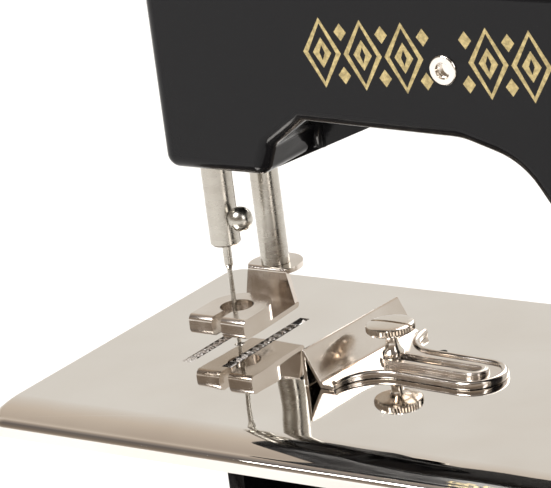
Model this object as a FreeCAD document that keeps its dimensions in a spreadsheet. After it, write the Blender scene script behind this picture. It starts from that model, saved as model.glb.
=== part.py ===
import FreeCAD, Part
import math
import operator
import os

import Sketcher
from FreeCAD import Placement, Rotation, Vector

# A child's hand-crank chain-stitch sewing machine, in millimetres, Z up.
# The row's origin is the middle of the bounding box at the rest face.
# Positions of pieces are given from the needle's axis (x to the pillar,
# y to the back) and from the top face of the bed plate (z up).

SIZES = {
    # height of the bed's top face over the rest face
    "bed_height": 54,
    # sheet of the bed plate, its edges and its rolled lip
    "plate_left": -31, "plate_right": 153, "plate_front": -48.5, "plate_back": 41,
    "plate_sheet": 1.2, "plate_lip": 5, "plate_corner": 5, "plate_roll": 1.8,
    "notch_left": 89.4, "notch_right": 142, "notch_front": -9,
    "slot_x": 5.1, "slot_half": 1.2, "slot_front": -12, "slot_back": 17,
    "needle_hole_r": 1.1, "guide_hole_r": 1.25, "spare_hole_r": 1,
    "spare_hole_x": 45, "spare_hole_y": 9,
    # cast frame: open-backed shell
    "frame_front": -8, "frame_back": 23, "wall": 4, "edge_round": 3,
    "nose_left": -7.2, "head_wall": 2.2, "nose_right": 18, "nose_bottom": 41, "nose_roof": 54,
    "notch_x": 20.5, "notch_z": 47.5, "arch_x": 29, "arch_z": 53.3,
    "arch_end_x": 66, "arch_end_z": 52.4, "shoulder_x": 79, "shoulder_z": 48.4,
    "pillar_left": 90, "pillar_turn_z": 32, "pillar_right": 141,
    "crown_drop": 3.5, "top_z": 84, "top_left_x": -5, "crown_left_drop": 4,
    "top_right_x": 138, "corner_round": 6, "arch_round": 16,
    # gusset behind the notch and its rib
    "gusset_front": 9, "gusset_back": 13, "gusset_low_x": 9, "gusset_low_z": 37,
    "gusset_end_x": 36, "gusset_end_z": 48.5, "rib_x": 21, "rib_r": 1.1, "rib_low": 42.5,
    # base box and foot
    "box_left": 8, "box_right": 148, "box_front": -20, "box_back": 24,
    "foot_left": -4, "foot_right": 152, "foot_front": -38, "foot_back": 34,
    "foot_height": 6, "foot_corner": 12,
    "window_left": 12, "window_right": 84, "window_low": -41, "window_high": -8,
    "web_left": 104, "web_right": 108,
    # rubber feet
    "pad_height": 3, "pad_r": 6, "pad_top_r": 7, "pad_inset": 10,
    "pad_stud_r": 1.8, "pad_stud": 4, "pad_clear": 0.05,
    # needle bar group; the bar is a quarter inch across
    "bar_r": 3.175, "bar_bottom": 22.6, "bar_rise": 11, "slide_clear": 0.05,
    "needle_shank_r": 0.9, "needle_blade_r": 0.5, "shank_up": 11, "shank_down": 4.6,
    "needle_tip": -1, "tip_length": 3, "eye_r": 0.22, "eye_up": 4.2, "taper": 0.8,
    "needle_bore_clear": 0.02, "bar_bevel": 0.4,
    "clamp_up": 6.4, "clamp_stand": 2.825, "clamp_ball_r": 2.6, "clamp_neck_r": 1.2,
    "clamp_stem": 1, "clamp_shoulder": 3.5, "clamp_turn": -15,
    "ball_root_across": 0.8, "ball_root_back": 0.6,
    "stud_root": 1.2, "stud_r": 1.6, "stud_tip": 9.6, "stud_clear": 0.12,
    "stud_rim_r": 2.5, "stud_rim": 1,
    "cap_height": 2.2, "cap_r": 4.2, "loop_r": 2.6, "loop_wire": 0.55,
    # presser group
    "presser_y": 16, "presser_r": 3.05, "presser_rise": 6, "tenon_r": 2, "tenon_end": 0.4,
    "foot_lift": 4.1, "foot_drop": 3.3, "foot_bend": 0.88, "sole_sheet": 1.1,
    "sole_half": 7.1, "sole_front": -7,
    "sole_pad": 3.2, "sole_ring_y": 1.2, "toe_gap": 2.3, "eye_hole_r": 3.6, "eye_hole_y": 0.8,
    "web_y": 12.5, "web_sheet": 1.1, "web_half": 4.8, "web_low_half": 6.6,
    "flange_top": 12.7, "flange_r": 5.9,
    "toe_round": 1.3,
    "collar_z": 60, "collar_height": 5, "collar_r": 4.6, "tail_half": 1.6, "tail_back": 27.5,
    "tail_height": 3,
    "spring_r": 3.8, "spring_wire": 0.4, "spring_turns": 6, "spring_gap": 0.05,
    "knob_r": 4, "knob_height": 4, "knob_bevel": 1,
    "lifter_z": 48.5, "lifter_pin_r": 1.5, "cam_steps": 9, "cam_gap": 0.5, "cam_turn": 90,
    "lifter_web": 6.6,
    "lifter_sheet": 2.2, "lifter_length": 24, "lifter_half": 2.2, "lifter_gap": 0.5,
    "lifter_head_r": 3, "lifter_head": 1.3, "lifter_root": 3, "lifter_hub_r": 4,
    # walking beam and its pivot
    "pivot_x": 64.5, "pivot_z": 66.7, "pivot_r": 3.05, "pivot_proud": 0.5,
    "pivot_socket_r": 1.6, "pivot_socket": 1.4, "pivot_nut_r": 5.2, "pivot_nut": 2.2,
    "beam_front": 4.6, "beam_back": 8.2, "beam_half_mid": 5, "beam_half_end": 4,
    "beam_hub_r": 7, "beam_left": -3.6, "beam_slot": 4.5, "beam_panel": 1.1,
    "panel_half": 2.2, "panel_in": 12, "panel_hub": 10.5, "panel_yoke": 17.2,
    "yoke_half_height": 4.4, "yoke_in": 8.6,
    "yoke_out": 9.6, "yoke_wall": 2.6, "boss_step": 1, "play": 0.4,
    # gear train and crank shaft
    "module_size": 0.9, "wheel_teeth": 56, "pinion_teeth": 14, "pressure_angle": 20,
    "addendum": 0.8, "dedendum": 1.05, "backlash": 0.06, "centre_gap": 0.05,
    "shaft_x": 123, "wheel_front": -20, "wheel_back": -13.5, "rim": 4.2,
    "hub_r": 6.5, "hub_front": -22.5, "spoke_count": 5, "spoke_half": 2, "spoke_sheet": 4,
    "stud_shaft_r": 3, "stud_head_r": 5, "stud_head": 2.2, "stud_root": 7, "run_clear": 0.04,
    "crank_r": 2.5, "shaft_bevel": 0.5, "bush_r": 4.5, "bush_flange_r": 7, "bush_flange": 1.5,
    "pinion_front": -20.5, "pinion_back": -12.5, "shaft_front": -22,
    "boss_r": 9.5, "boss_front": -10.5, "crank_disc_gap": 0.4, "crank_disc_sheet": 3.6,
    "disc_r": 11,
    "pin_throw": 6.4, "crank_pin_r": 1.9, "pin_gap": 0.4,
    # crank handle on the wheel's rim
    "handle_throw": 18, "handle_r": 4.6, "handle_neck_r": 3.4, "handle_front": -45,
    "handle_back": -21.2, "handle_screw_r": 1.7, "handle_head_r": 2.9, "handle_head": 1.5,
    "handle_boss_r": 4.2, "handle_end_r": 3.7, "handle_dome": 1.8, "handle_belly": 7.1,
    "handle_waist": 17.1, "handle_waist_end": 20.2, "handle_bead": 21.4,
    # thread path on top of the arm
    "tension_x": 34, "tension_y": 6, "tension_r": 1.5, "tension_rise": 19, "disc_wide": 7,
    "disc_sheet": 0.6, "disc_gap": 0.25, "tension_base": 2, "tension_base_r": 3.4,
    "tension_spring_r": 3, "tension_wire": 0.4, "tension_turns": 3.5, "tension_nut_r": 4,
    "tension_spring_height": 6, "tension_nut": 4.5, "nut_clear": 0.05,
    "disc_flat_r": 4.2, "tension_nut_side": 2.7, "tension_nut_top_r": 2.8,
    "spool_x": 96, "spool_y": 7, "spool_r": 1.9, "spool_rise": 30, "spool_base_r": 6,
    "spool_base": 2, "spool_root": 3,
    "guide_wire_x": 10, "guide_wire_y": 6, "wire_r": 0.7, "wire_rise": 6, "wire_loop_r": 2.4,
    # feed
    "tooth_depth": 0.7, "tooth_pitch": 2, "tooth_count": 12, "feed_top": 0.2,
    "feed_front": -9.5, "feed_row_half": 0.85, "feed_row_depth": 5.2, "feed_bridge": 1.8,
    "carrier_low": -14, "carrier_high": -9.5, "carrier_half": 2.6, "carrier_left": -8,
    "carrier_right": 116, "carrier_y": 11, "feed_stem_half": 2, "feed_stem_deep": 1.3,
    "feed_travel": 2, "feed_socket": 0.08, "port_clear": 0.4, "tooth_land": 0.15,
    # looper
    "looper_z": -25, "looper_y": 0, "looper_r": 2, "looper_left": -6, "looper_right": 126,
    "looper_hub_r": 4, "looper_hub": 4.5, "hook_reach": 17.5, "hook_x": 1.7, "hook_r": 0.8,
    "hook_tip": 6.5, "hook_root_r": 1.6, "hook_point_r": 0.2,
    "rocker_left": 119, "rocker_right": 123, "rocker_reach": 12, "rocker_half": 2.6,
    "roller_r": 3.2, "roller": 3, "keeper_r": 3.6,
    # seam guide, measured from its thumbscrew along the tab
    "screw_x": 39.1, "screw_y": 0.1, "guide_turn": -4, "guide_gap": 0.1, "guide_sheet": 0.9,
    "fence_x": -10.4, "fence_high": 8.6, "fence_front": -16.6, "fence_back": 15.3,
    "ramp_foot": -6.3, "ramp_bend": 1.5, "flat_end": -2.9, "flare_r": 8.5,
    "tab_half": 6.8, "tab_end": 20.3,
    "tab_slot_half": 1.5, "tab_slot_near": -0.1, "tab_slot_far": 20.3, "tab_rim": 1,
    "tab_rim_wide": 1.3, "fence_top": 0.6, "fence_throat": 2.5,
    "bush_out_r": 1.4, "bush_in_r": 1.1, "thumb_stem_r": 1, "thumb_collar_r": 2.3,
    "thumb_neck_r": 1.3, "thumb_head_r": 5.1, "thumb_head": 2, "thumb_top": 9.3,
    "thumb_flare": 2.6, "thumb_bevel": 0.5, "thumb_end": -7, "thumb_slot": 0.6, "thumb_slot_half": 0.45,
    # screws that hold the plate down
    "plate_screw_r": 1.5, "plate_screw_head_r": 2.6,
    "plate_screw_length": 7, "plate_screw_slot": 0.35, "sink_angle": 45,
    "hold_left_x": 100, "hold_right_x": 145.5, "hold_front_y": -15, "hold_back_y": 21,
    "hold_rear_x": 85,
    # how far a cut runs past a face
    "cut_over": 1,
}
# how close counts as the same place, and as parallel; facets on a gear flank
NEAR = 0.01
PARALLEL = 0.001
FLANK_STEPS = 5
OPERATORS = {"+": operator.add, "-": operator.sub, "*": operator.mul, "/": operator.truediv}
TURNS = {
    "+Z": Rotation(),
    "-Z": Rotation(Vector(1, 0, 0), 180),
    "+X": Rotation(Vector(0, 1, 0), 90),
    "-X": Rotation(Vector(0, 1, 0), -90),
    "+Y": Rotation(Vector(1, 0, 0), -90),
    "-Y": Rotation(Vector(1, 0, 0), 90),
}

os.makedirs("parts", exist_ok=True)
doc = FreeCAD.newDocument("SewingMachine")
sheet = doc.addObject("Spreadsheet::Sheet", "Sizes")
for row, (alias, number) in enumerate(SIZES.items(), start=1):
    sheet.set("A%d" % row, alias)
    sheet.set("B%d" % row, str(number))
    sheet.setAlias("B%d" % row, alias)
doc.recompute()


class Dim:
    """A size: its number, and the expression on the sheet that gives it."""

    def __init__(self, value, text):
        self.value = float(value)
        self.text = text

    def joined(self, other, sign):
        """This size and another joined by one of the four operators."""
        other = dim(other)
        value = OPERATORS[sign](self.value, other.value)
        return Dim(value, "(%s %s %s)" % (self.text, sign, other.text))

    def __add__(self, other):
        return self.joined(other, "+")

    def __sub__(self, other):
        return self.joined(other, "-")

    def __mul__(self, other):
        return self.joined(other, "*")

    def __truediv__(self, other):
        return self.joined(other, "/")

    def __neg__(self):
        return Dim(0, "0") - self


def dim(value):
    """A plain number as a size."""
    return value if isinstance(value, Dim) else Dim(value, repr(value))


class Sheet:
    """The sizes on the sheet, each as a Dim."""

    def __getattr__(self, name):
        return Dim(getattr(sheet, name), "Sizes." + name)


S = Sheet()
ZERO = Dim(0, "0")
NEEDLE_X = -(S.plate_left + S.plate_right) / 2
NEEDLE_Y = -(S.plate_front + S.plate_back) / 2
CROWN_Z = S.top_z - S.crown_drop
CROWN_LEFT_Z = S.top_z - S.crown_left_drop
BAR_TOP = S.top_z + S.bar_rise
PRESSER_TOP = S.top_z + S.presser_rise
DISC_FRONT = S.frame_front + S.wall + S.boss_step + S.crank_disc_gap
DISC_BACK = DISC_FRONT + S.crank_disc_sheet


def px(value):
    """Row X of a place given from the needle's axis."""
    return NEEDLE_X + value


def py(value):
    """Row Y of a place given from the needle's axis."""
    return NEEDLE_Y + value


def pz(value):
    """Row Z of a height given from the bed's top face."""
    return S.bed_height + value


def at(x, y, z):
    """A place in the row, given from the needle and the bed."""
    return (px(x), py(y), pz(z))


def put(item, place, turn=TURNS["+Z"]):
    """Set an object's placement and bind its position to the sheet."""
    item.Placement = Placement(Vector(*[part.value for part in place]), turn)
    for letter, part in zip("xyz", place):
        item.setExpression("Placement.Base." + letter, part.text)
    return item


def add_lengths(item, **lengths):
    """Bind an object's own sizes to the sheet."""
    for name, value in lengths.items():
        item.setExpression(name, dim(value).text)
    return item


def block(x0, x1, y0, y1, z0, z1):
    """A box between row positions."""
    item = doc.addObject("Part::Box", "Block")
    add_lengths(item, Length=x1 - x0, Width=y1 - y0, Height=z1 - z0)
    return put(item, (x0, y0, z0))


def rod(place, axis, radius, length):
    """A round bar from a place along a row axis."""
    item = doc.addObject("Part::Cylinder", "Rod")
    add_lengths(item, Radius=radius, Height=length)
    return put(item, place, TURNS[axis])


def cone(place, axis, radius, end_radius, length):
    """A round taper from a place along a row axis."""
    item = doc.addObject("Part::Cone", "Cone")
    add_lengths(item, Radius1=radius, Radius2=end_radius, Height=length)
    return put(item, place, TURNS[axis])


def ball(place, radius):
    """A full ball."""
    item = doc.addObject("Part::Sphere", "Ball")
    add_lengths(item, Radius=radius)
    return put(item, place)


def hoop(place, axis, radius, wire):
    """A ring of round wire."""
    item = doc.addObject("Part::Torus", "Hoop")
    add_lengths(item, Radius1=radius, Radius2=wire)
    return put(item, place, TURNS[axis])


def fuse(name, *pieces):
    """One solid from several overlapping ones."""
    item = doc.addObject("Part::MultiFuse", name)
    item.Shapes = list(pieces)
    item.Refine = True
    item.Label = name
    return item


def cut(name, base, *tools):
    """A solid less one or more others."""
    tool = tools[0] if len(tools) == 1 else fuse(name + "_tools", *tools)
    item = doc.addObject("Part::Cut", name)
    item.Base = base
    item.Tool = tool
    item.Refine = True
    item.Label = name
    return item


def group(name, *pieces):
    """Equal pieces that stay separate solids in one sub-part."""
    item = doc.addObject("Part::Compound", name)
    item.Links = list(pieces)
    item.Label = name
    return item


def named(name, item):
    """Give a finished sub-part its name."""
    item.Label = name
    return item


def new_body(name):
    """An empty body for sketched features."""
    item = doc.addObject("PartDesign::Body", name)
    item.Label = name
    return item


def draw(sketch, points):
    """Draw a closed loop.

    A point is (u, v), or (u, v, radius, side) when the edge that arrives
    at it is an arc: side 1 turns left on the way, side -1 turns right.
    """
    edges = []
    starts = []
    total = len(points)
    for index in range(total):
        first = points[index]
        last = points[(index + 1) % total]
        a = Vector(first[0].value, first[1].value, 0)
        b = Vector(last[0].value, last[1].value, 0)
        if len(last) == 2:
            edges.append(Part.LineSegment(a, b))
            starts.append(1)
            continue
        radius = last[2].value
        side = last[3]
        chord = b - a
        rise = math.sqrt(max(radius ** 2 - (chord.Length / 2) ** 2, 0))
        across = Vector(-chord.y, chord.x, 0).normalize()
        centre = (a + b) / 2 + across * rise * side
        turn_a = math.atan2(a.y - centre.y, a.x - centre.x)
        turn_b = math.atan2(b.y - centre.y, b.x - centre.x)
        circle = Part.Circle(centre, Vector(0, 0, 1), radius)
        if side > 0:
            edges.append(Part.ArcOfCircle(circle, turn_a, turn_b))
            starts.append(1)
        else:
            edges.append(Part.ArcOfCircle(circle, turn_b, turn_a))
            starts.append(2)
    numbers = sketch.addGeometry(edges, False)
    rules = []
    bound = []
    for index in range(total):
        number = numbers[index]
        follower = (index + 1) % total
        rules.append(Sketcher.Constraint("Coincident", number, 3 - starts[index],
                                         numbers[follower], starts[follower]))
        for kind, axis, part in (("DistanceX", -2, 0), ("DistanceY", -1, 1)):
            value = points[index][part]
            if value.text == "0":
                rules.append(Sketcher.Constraint("PointOnObject", number, starts[index], axis))
                continue
            rules.append(Sketcher.Constraint(kind, -1, 1, number, starts[index], value.value))
            bound.append((len(rules) - 1, value.text))
        if len(points[follower]) > 2:
            rise_u = abs(points[follower][0].value - points[index][0].value)
            rise_v = abs(points[follower][1].value - points[index][1].value)
            if abs(math.hypot(rise_u, rise_v) - 2 * points[follower][2].value) < 0.0001:
                kind = "Vertical" if rise_v > rise_u else "Horizontal"
                rules.append(Sketcher.Constraint(kind, number, 3, number, starts[index]))
                continue
            rules.append(Sketcher.Constraint("Radius", number, points[follower][2].value))
            bound.append((len(rules) - 1, points[follower][2].text))
    base = sketch.ConstraintCount
    sketch.addConstraint(rules)
    for offset, text in bound:
        sketch.setExpression("Constraints[%d]" % (base + offset), text)


def draw_circle(sketch, u, v, radius):
    """Draw a circle whose centre and radius come from the sheet."""
    circle = Part.Circle(Vector(u.value, v.value, 0), Vector(0, 0, 1), radius.value)
    number = sketch.addGeometry(circle, False)
    base = sketch.ConstraintCount
    rules = [Sketcher.Constraint("Radius", number, radius.value)]
    texts = [(base, radius.text)]
    for kind, axis, value in (("DistanceX", -2, u), ("DistanceY", -1, v)):
        if value.text == "0":
            rules.append(Sketcher.Constraint("PointOnObject", number, 3, axis))
            continue
        rules.append(Sketcher.Constraint(kind, -1, 1, number, 3, value.value))
        texts.append((base + len(rules) - 1, value.text))
    sketch.addConstraint(rules)
    for index, text in texts:
        sketch.setExpression("Constraints[%d]" % index, text)


def sketch_on(body, plane, offset, loops):
    """A sketch of loops on one of the body's origin planes, moved along its normal."""
    sketch = body.newObject("Sketcher::SketchObject", body.Name + "_sketch")
    face = [item for item in body.Origin.OriginFeatures if item.Role == plane][0]
    sketch.AttachmentSupport = [(face, "")]
    sketch.MapMode = "FlatFace"
    sketch.AttachmentOffset = Placement(Vector(0, 0, offset.value), Rotation())
    sketch.setExpression("AttachmentOffset.Base.z", offset.text)
    for loop in loops:
        if isinstance(loop, tuple):
            draw_circle(sketch, *loop)
        else:
            draw(sketch, loop)
    doc.recompute()
    return sketch


def pad(body, plane, loops, low, high):
    """Add the loops as solid between two positions across the plane."""
    offset = -high if plane == "XZ_Plane" else low
    sketch = sketch_on(body, plane, offset, loops)
    feature = body.newObject("PartDesign::Pad", body.Name + "_pad")
    feature.Profile = sketch
    feature.setExpression("Length", (high - low).text)
    body.Tip = feature
    doc.recompute()
    return feature


def pocket(body, plane, loops, low, high):
    """Take the loops away between two positions across the plane."""
    offset = -low if plane == "XZ_Plane" else high
    sketch = sketch_on(body, plane, offset, loops)
    feature = body.newObject("PartDesign::Pocket", body.Name + "_pocket")
    feature.Profile = sketch
    feature.setExpression("Length", (high - low).text)
    body.Tip = feature
    doc.recompute()
    return feature


def soften(body, radius, test, kind="Fillet"):
    """Round or bevel the edges of the body that pass a test."""
    doc.recompute()
    base = body.Tip
    names = ["Edge%d" % (n + 1) for n, edge in enumerate(base.Shape.Edges) if test(edge)]
    feature = body.newObject("PartDesign::" + kind, body.Name + "_" + kind.lower())
    feature.Base = (base, names)
    feature.setExpression("Radius" if kind == "Fillet" else "Size", radius.text)
    body.Tip = feature
    doc.recompute()
    return feature


def turned(name, profile, place, turn=TURNS["+Z"]):
    """A turned piece: a closed profile of (radius, height) spun round its own axis."""
    body = new_body(name)
    sketch = sketch_on(body, "XZ_Plane", ZERO, [profile])
    feature = body.newObject("PartDesign::Revolution", name + "_turn")
    feature.Profile = sketch
    feature.ReferenceAxis = (sketch, ["V_Axis"])
    feature.Angle = 360
    body.Tip = feature
    doc.recompute()
    return put(body, place, turn)


def box_loop(u0, u1, v0, v1):
    """The four corners of an upright rectangle."""
    return [(u0, v0), (u1, v0), (u1, v1), (u0, v1)]


def round_loop(u0, u1, v0, v1, radius):
    """A rectangle with its four corners rounded."""
    return [(u0 + radius, v0, radius, 1), (u1 - radius, v0),
            (u1, v0 + radius, radius, 1), (u1, v1 - radius),
            (u1 - radius, v1, radius, 1), (u0 + radius, v1),
            (u0, v1 - radius, radius, 1), (u0, v0 + radius)]


def capsule_loop(u0, u1, v, radius):
    """A slot along u with round ends."""
    return [(u0, v - radius, radius, 1), (u1, v - radius),
            (u1, v + radius, radius, 1), (u0, v + radius)]


def near(value, target):
    """Whether a coordinate is at a size on the sheet."""
    return abs(value - target.value) < NEAR


def edge_along(edge, axis):
    """Whether a straight edge runs along a row axis."""
    if len(edge.Vertexes) != 2:
        return False
    step = edge.Vertexes[1].Point - edge.Vertexes[0].Point
    if abs(step.Length - edge.Length) > PARALLEL:
        return False
    return abs(abs(step.normalize().dot(axis)) - 1) < PARALLEL


def arm_outline(inset):
    """Front outline of head, arm and pillar, or of the hollow a wall inside it."""
    left = px(S.nose_left + (inset if inset is ZERO else S.head_wall))
    low = pz(S.nose_bottom) if inset is ZERO else pz(S.nose_roof)
    points = [(left, low)]
    if inset is ZERO:
        points.append((px(S.nose_right), low))
        points.append((px(S.notch_x), pz(S.notch_z)))
        points.append((px(S.arch_x), pz(S.arch_z)))
    else:
        points.append((px(S.nose_right), low))
        points.append((px(S.arch_x - inset / 2), pz(S.arch_z + inset)))
    points.append((px(S.arch_end_x), pz(S.arch_end_z + inset)))
    points.append((px(S.shoulder_x + inset), pz(S.shoulder_z + inset)))
    points.append((px(S.pillar_left + inset), pz(S.pillar_turn_z)))
    points.append((px(S.pillar_left + inset), pz(inset / 2 - S.wall)))
    points.append((px(S.pillar_right - inset), pz(inset / 2 - S.wall)))
    points.append((px(S.pillar_right - inset), pz(CROWN_Z - inset / 2)))
    points.append((px(S.top_right_x - inset / 2), pz(S.top_z - inset)))
    points.append((px(S.top_left_x + inset / 2), pz(S.top_z - inset)))
    points.append((left, pz(CROWN_LEFT_Z - inset / 2)))
    return points


def frame_casting():
    """The cast frame: foot, base box, pillar, hollow arm and head in one piece."""
    body = new_body("frame_casting")
    front = py(S.frame_front)
    back = py(S.frame_back)
    inner = front + S.wall
    across = Vector(0, 1, 0)
    pad(body, "XZ_Plane", [arm_outline(ZERO)], front, back)
    turns = (px(S.nose_right), px(S.notch_x), px(S.nose_left), px(S.top_right_x))
    soften(body, S.corner_round / 2,
           lambda e: edge_along(e, across) and any(near(e.Vertexes[0].X, x) for x in turns))
    soften(body, S.corner_round,
           lambda e: edge_along(e, across) and near(e.Vertexes[0].X, px(S.pillar_right))
           and near(e.Vertexes[0].Z, pz(CROWN_Z)))
    bends = (px(S.arch_end_x), px(S.shoulder_x))
    soften(body, S.arch_round,
           lambda e: edge_along(e, across)
           and (any(near(e.Vertexes[0].X, x) for x in bends)
                or near(e.Vertexes[0].Z, pz(S.pillar_turn_z))))
    soften(body, S.edge_round,
           lambda e: all(near(v.Y, front) for v in e.Vertexes)
           and e.BoundBox.ZMax > pz(ZERO).value)
    pocket(body, "XZ_Plane", [arm_outline(S.wall)], inner, back)
    base_of_frame(body)
    bosses_of_frame(body)
    bores_of_frame(body)
    return body


def base_of_frame(body):
    """The box under the bed and the spread foot, hollow from below, open in front."""
    top = pz(-S.plate_sheet)
    foot_top = S.pad_height + S.foot_height
    pad(body, "XY_Plane", [box_loop(px(S.box_left), px(S.box_right),
                                    py(S.box_front), py(S.box_back))], S.pad_height, top)
    pad(body, "XY_Plane", [round_loop(px(S.foot_left), px(S.foot_right), py(S.foot_front),
                                      py(S.foot_back), S.foot_corner)],
        S.pad_height, foot_top)
    left = px(S.box_left).value
    over = S.cut_over.value
    soften(body, S.edge_round / 2,
           lambda e: all(near(v.Z, foot_top) for v in e.Vertexes)
           and (e.CenterOfMass.x < left - over
                or e.CenterOfMass.y < py(S.box_front).value - over
                or e.CenterOfMass.y > py(S.box_back).value + over))
    pocket(body, "XY_Plane", [box_loop(px(S.box_left + S.wall), px(S.box_right - S.wall),
                                       py(S.box_front + S.wall), py(S.box_back - S.wall))],
           S.pad_height, top - S.wall)
    pocket(body, "XZ_Plane", [box_loop(px(S.window_left), px(S.window_right),
                                       pz(S.window_low), pz(S.window_high))],
           py(S.box_front), py(S.box_front + S.wall))
    pad(body, "YZ_Plane", [box_loop(py(S.box_front + S.wall), py(S.box_back - S.wall),
                                    pz(S.window_low), top)],
        px(S.web_left), px(S.web_right))


def bosses_of_frame(body):
    """Gusset behind the notch, its rib, and the round bosses of the bearings."""
    pad(body, "XZ_Plane", [[(px(S.nose_left), pz(S.nose_bottom + S.wall)),
                            (px(S.nose_left), pz(S.nose_bottom)),
                            (px(S.gusset_low_x), pz(S.gusset_low_z)),
                            (px(S.gusset_end_x), pz(S.gusset_end_z)),
                            (px(S.gusset_end_x), pz(S.arch_z + S.wall / 2)),
                            (px(S.nose_right), pz(S.nose_roof))]],
        py(S.gusset_front), py(S.gusset_back))
    pad(body, "XY_Plane", [(px(S.rib_x), py(S.gusset_front), S.rib_r)],
        pz(S.rib_low), pz(S.arch_z))
    pad(body, "XZ_Plane", [(px(S.shaft_x), pz(S.pivot_z), S.boss_r),
                           (px(S.shaft_x), pz(wheel_z()), S.boss_r)],
        py(S.boss_front), py(S.frame_front + S.wall))
    pad(body, "XZ_Plane", [(px(S.pivot_x), pz(S.pivot_z), S.beam_hub_r)],
        py(S.frame_front + S.wall / 2), py(S.frame_front + S.wall + S.boss_step))


def bores_of_frame(body):
    """Every bore, port and tapped hole of the casting."""
    low = pz(S.nose_bottom - S.wall - S.wall)
    high = pz(S.top_z + S.wall)
    front = py(S.boss_front)
    inner = py(S.frame_front + S.wall + S.boss_step)
    bar = S.bar_r + S.slide_clear
    presser = S.presser_r + S.slide_clear
    pocket(body, "XY_Plane", [(px(ZERO), py(ZERO), bar),
                              (px(ZERO), py(S.presser_y), presser)], low, high)
    pocket(body, "XZ_Plane", [(px(S.pivot_x), pz(S.pivot_z), S.pivot_r)], front, inner)
    pocket(body, "XZ_Plane", [(px(ZERO), pz(S.lifter_z), S.lifter_pin_r)],
           py(S.frame_back - S.lifter_root), py(S.frame_back + S.wall))
    pocket(body, "XY_Plane", [(px(S.screw_x), py(S.screw_y), S.guide_hole_r)],
           pz(S.thumb_end - S.wall), pz(ZERO))
    pocket(body, "XZ_Plane", [(px(S.shaft_x), pz(S.pivot_z), S.bush_r)], front, inner)
    pocket(body, "XZ_Plane", [(px(S.shaft_x), pz(wheel_z()), S.stud_shaft_r)],
           front, inner)
    pocket(body, "XY_Plane", [(px(S.tension_x), py(S.tension_y), S.tension_r),
                              (px(S.spool_x), py(S.spool_y), S.spool_r),
                              (px(S.guide_wire_x), py(S.guide_wire_y), S.wire_r)],
           pz(S.top_z - S.wall), high)
    for x, y in plate_screw_places():
        pocket(body, "XY_Plane", [(px(x), py(y), S.plate_screw_r)],
               pz(-S.plate_screw_length - S.cut_over), pz(S.cut_over) - S.plate_sheet)
    for x, y in foot_places():
        pocket(body, "XY_Plane", [(px(x), py(y), S.pad_stud_r)],
               S.pad_height, S.pad_height + S.pad_stud)
    walls = ((S.box_left - S.cut_over, S.box_left + S.wall), (S.web_left, S.web_right))
    for near_x, far_x in walls:
        pocket(body, "YZ_Plane", [(py(S.looper_y), pz(S.looper_z), S.looper_r + S.run_clear)],
               px(near_x), px(far_x))
        pocket(body, "YZ_Plane", [carrier_port(S.port_clear)], px(near_x), px(far_x))


def carrier_port(gap):
    """The opening the feed carrier slides in, seen along the bed."""
    side = S.carrier_half + S.feed_travel + gap
    return box_loop(py(S.carrier_y - side), py(S.carrier_y + side),
                    pz(S.carrier_low - S.slide_clear), pz(S.carrier_high + S.slide_clear))


def wheel_z():
    """Height of the drive wheel's axis: one gear centre distance under the crank shaft."""
    return S.pivot_z - gear_radius(S.wheel_teeth) - gear_radius(S.pinion_teeth) - S.centre_gap


def gear_radius(teeth):
    """Pitch radius of a gear of the train."""
    return teeth * S.module_size / 2


def plate_screw_places():
    """Where the bed plate is screwed to the frame."""
    return [(S.hold_left_x, S.hold_front_y), (S.hold_right_x, S.hold_front_y),
            (S.hold_rear_x, S.hold_back_y), (S.hold_right_x, S.hold_back_y)]


def foot_places():
    """Where the four rubber feet sit."""
    inset = S.pad_inset
    return [(x, y) for x in (S.foot_left + inset, S.foot_right - inset)
            for y in (S.foot_front + inset, S.foot_back - inset)]


def rubber_feet():
    """Four tapered feet, each with a stud pressed up into the casting."""
    feet = []
    for x, y in foot_places():
        place = (px(x), py(y), ZERO)
        skirt = cone(place, "+Z", S.pad_r, S.pad_top_r, S.pad_height)
        stud = rod((px(x), py(y), S.pad_height / 2), "+Z", S.pad_stud_r - S.pad_clear,
                   S.pad_stud + S.pad_height / 2 - S.pad_clear)
        feet.append(fuse("Foot", skirt, stud))
    return group("rubber_feet", *feet)


def bed_plate():
    """The pressed bed plate: rolled edges, lip, feed slots, screw holes, pillar notch."""
    body = new_body("bed_plate")
    outer = (px(S.plate_left), px(S.plate_right), py(S.plate_front), py(S.plate_back))
    pad(body, "XY_Plane", [round_loop(*outer, S.plate_corner)], pz(-S.plate_lip), pz(ZERO))
    soften(body, S.plate_roll, lambda e: all(near(v.Z, pz(ZERO)) for v in e.Vertexes))
    skin = S.plate_sheet
    inner = (outer[0] + skin, outer[1] - skin, outer[2] + skin, outer[3] - skin)
    pocket(body, "XY_Plane", [round_loop(*inner, S.plate_corner - skin)],
           pz(-S.plate_lip), pz(-skin))
    notch = box_loop(px(S.notch_left), px(S.notch_right), py(S.notch_front),
                     py(S.plate_back + skin))
    slots = [box_loop(px(side - S.slot_half), px(side + S.slot_half),
                      py(S.slot_front), py(S.slot_back)) for side in (S.slot_x, -S.slot_x)]
    holes = [(px(ZERO), py(ZERO), S.needle_hole_r),
             (px(S.screw_x), py(S.screw_y), S.guide_hole_r),
             (px(S.spare_hole_x), py(S.spare_hole_y), S.spare_hole_r)]
    holes += [(px(x), py(y), S.plate_screw_r) for x, y in plate_screw_places()]
    pocket(body, "XY_Plane", [notch], pz(-S.plate_lip), pz(ZERO))
    pocket(body, "XY_Plane", slots + holes, pz(-S.plate_lip), pz(ZERO))
    for x, y in plate_screw_places():
        sink = S.plate_screw_head_r - S.plate_screw_r
        groove_cone(body, px(x), py(y), S.plate_screw_head_r, sink)
    return body


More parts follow.
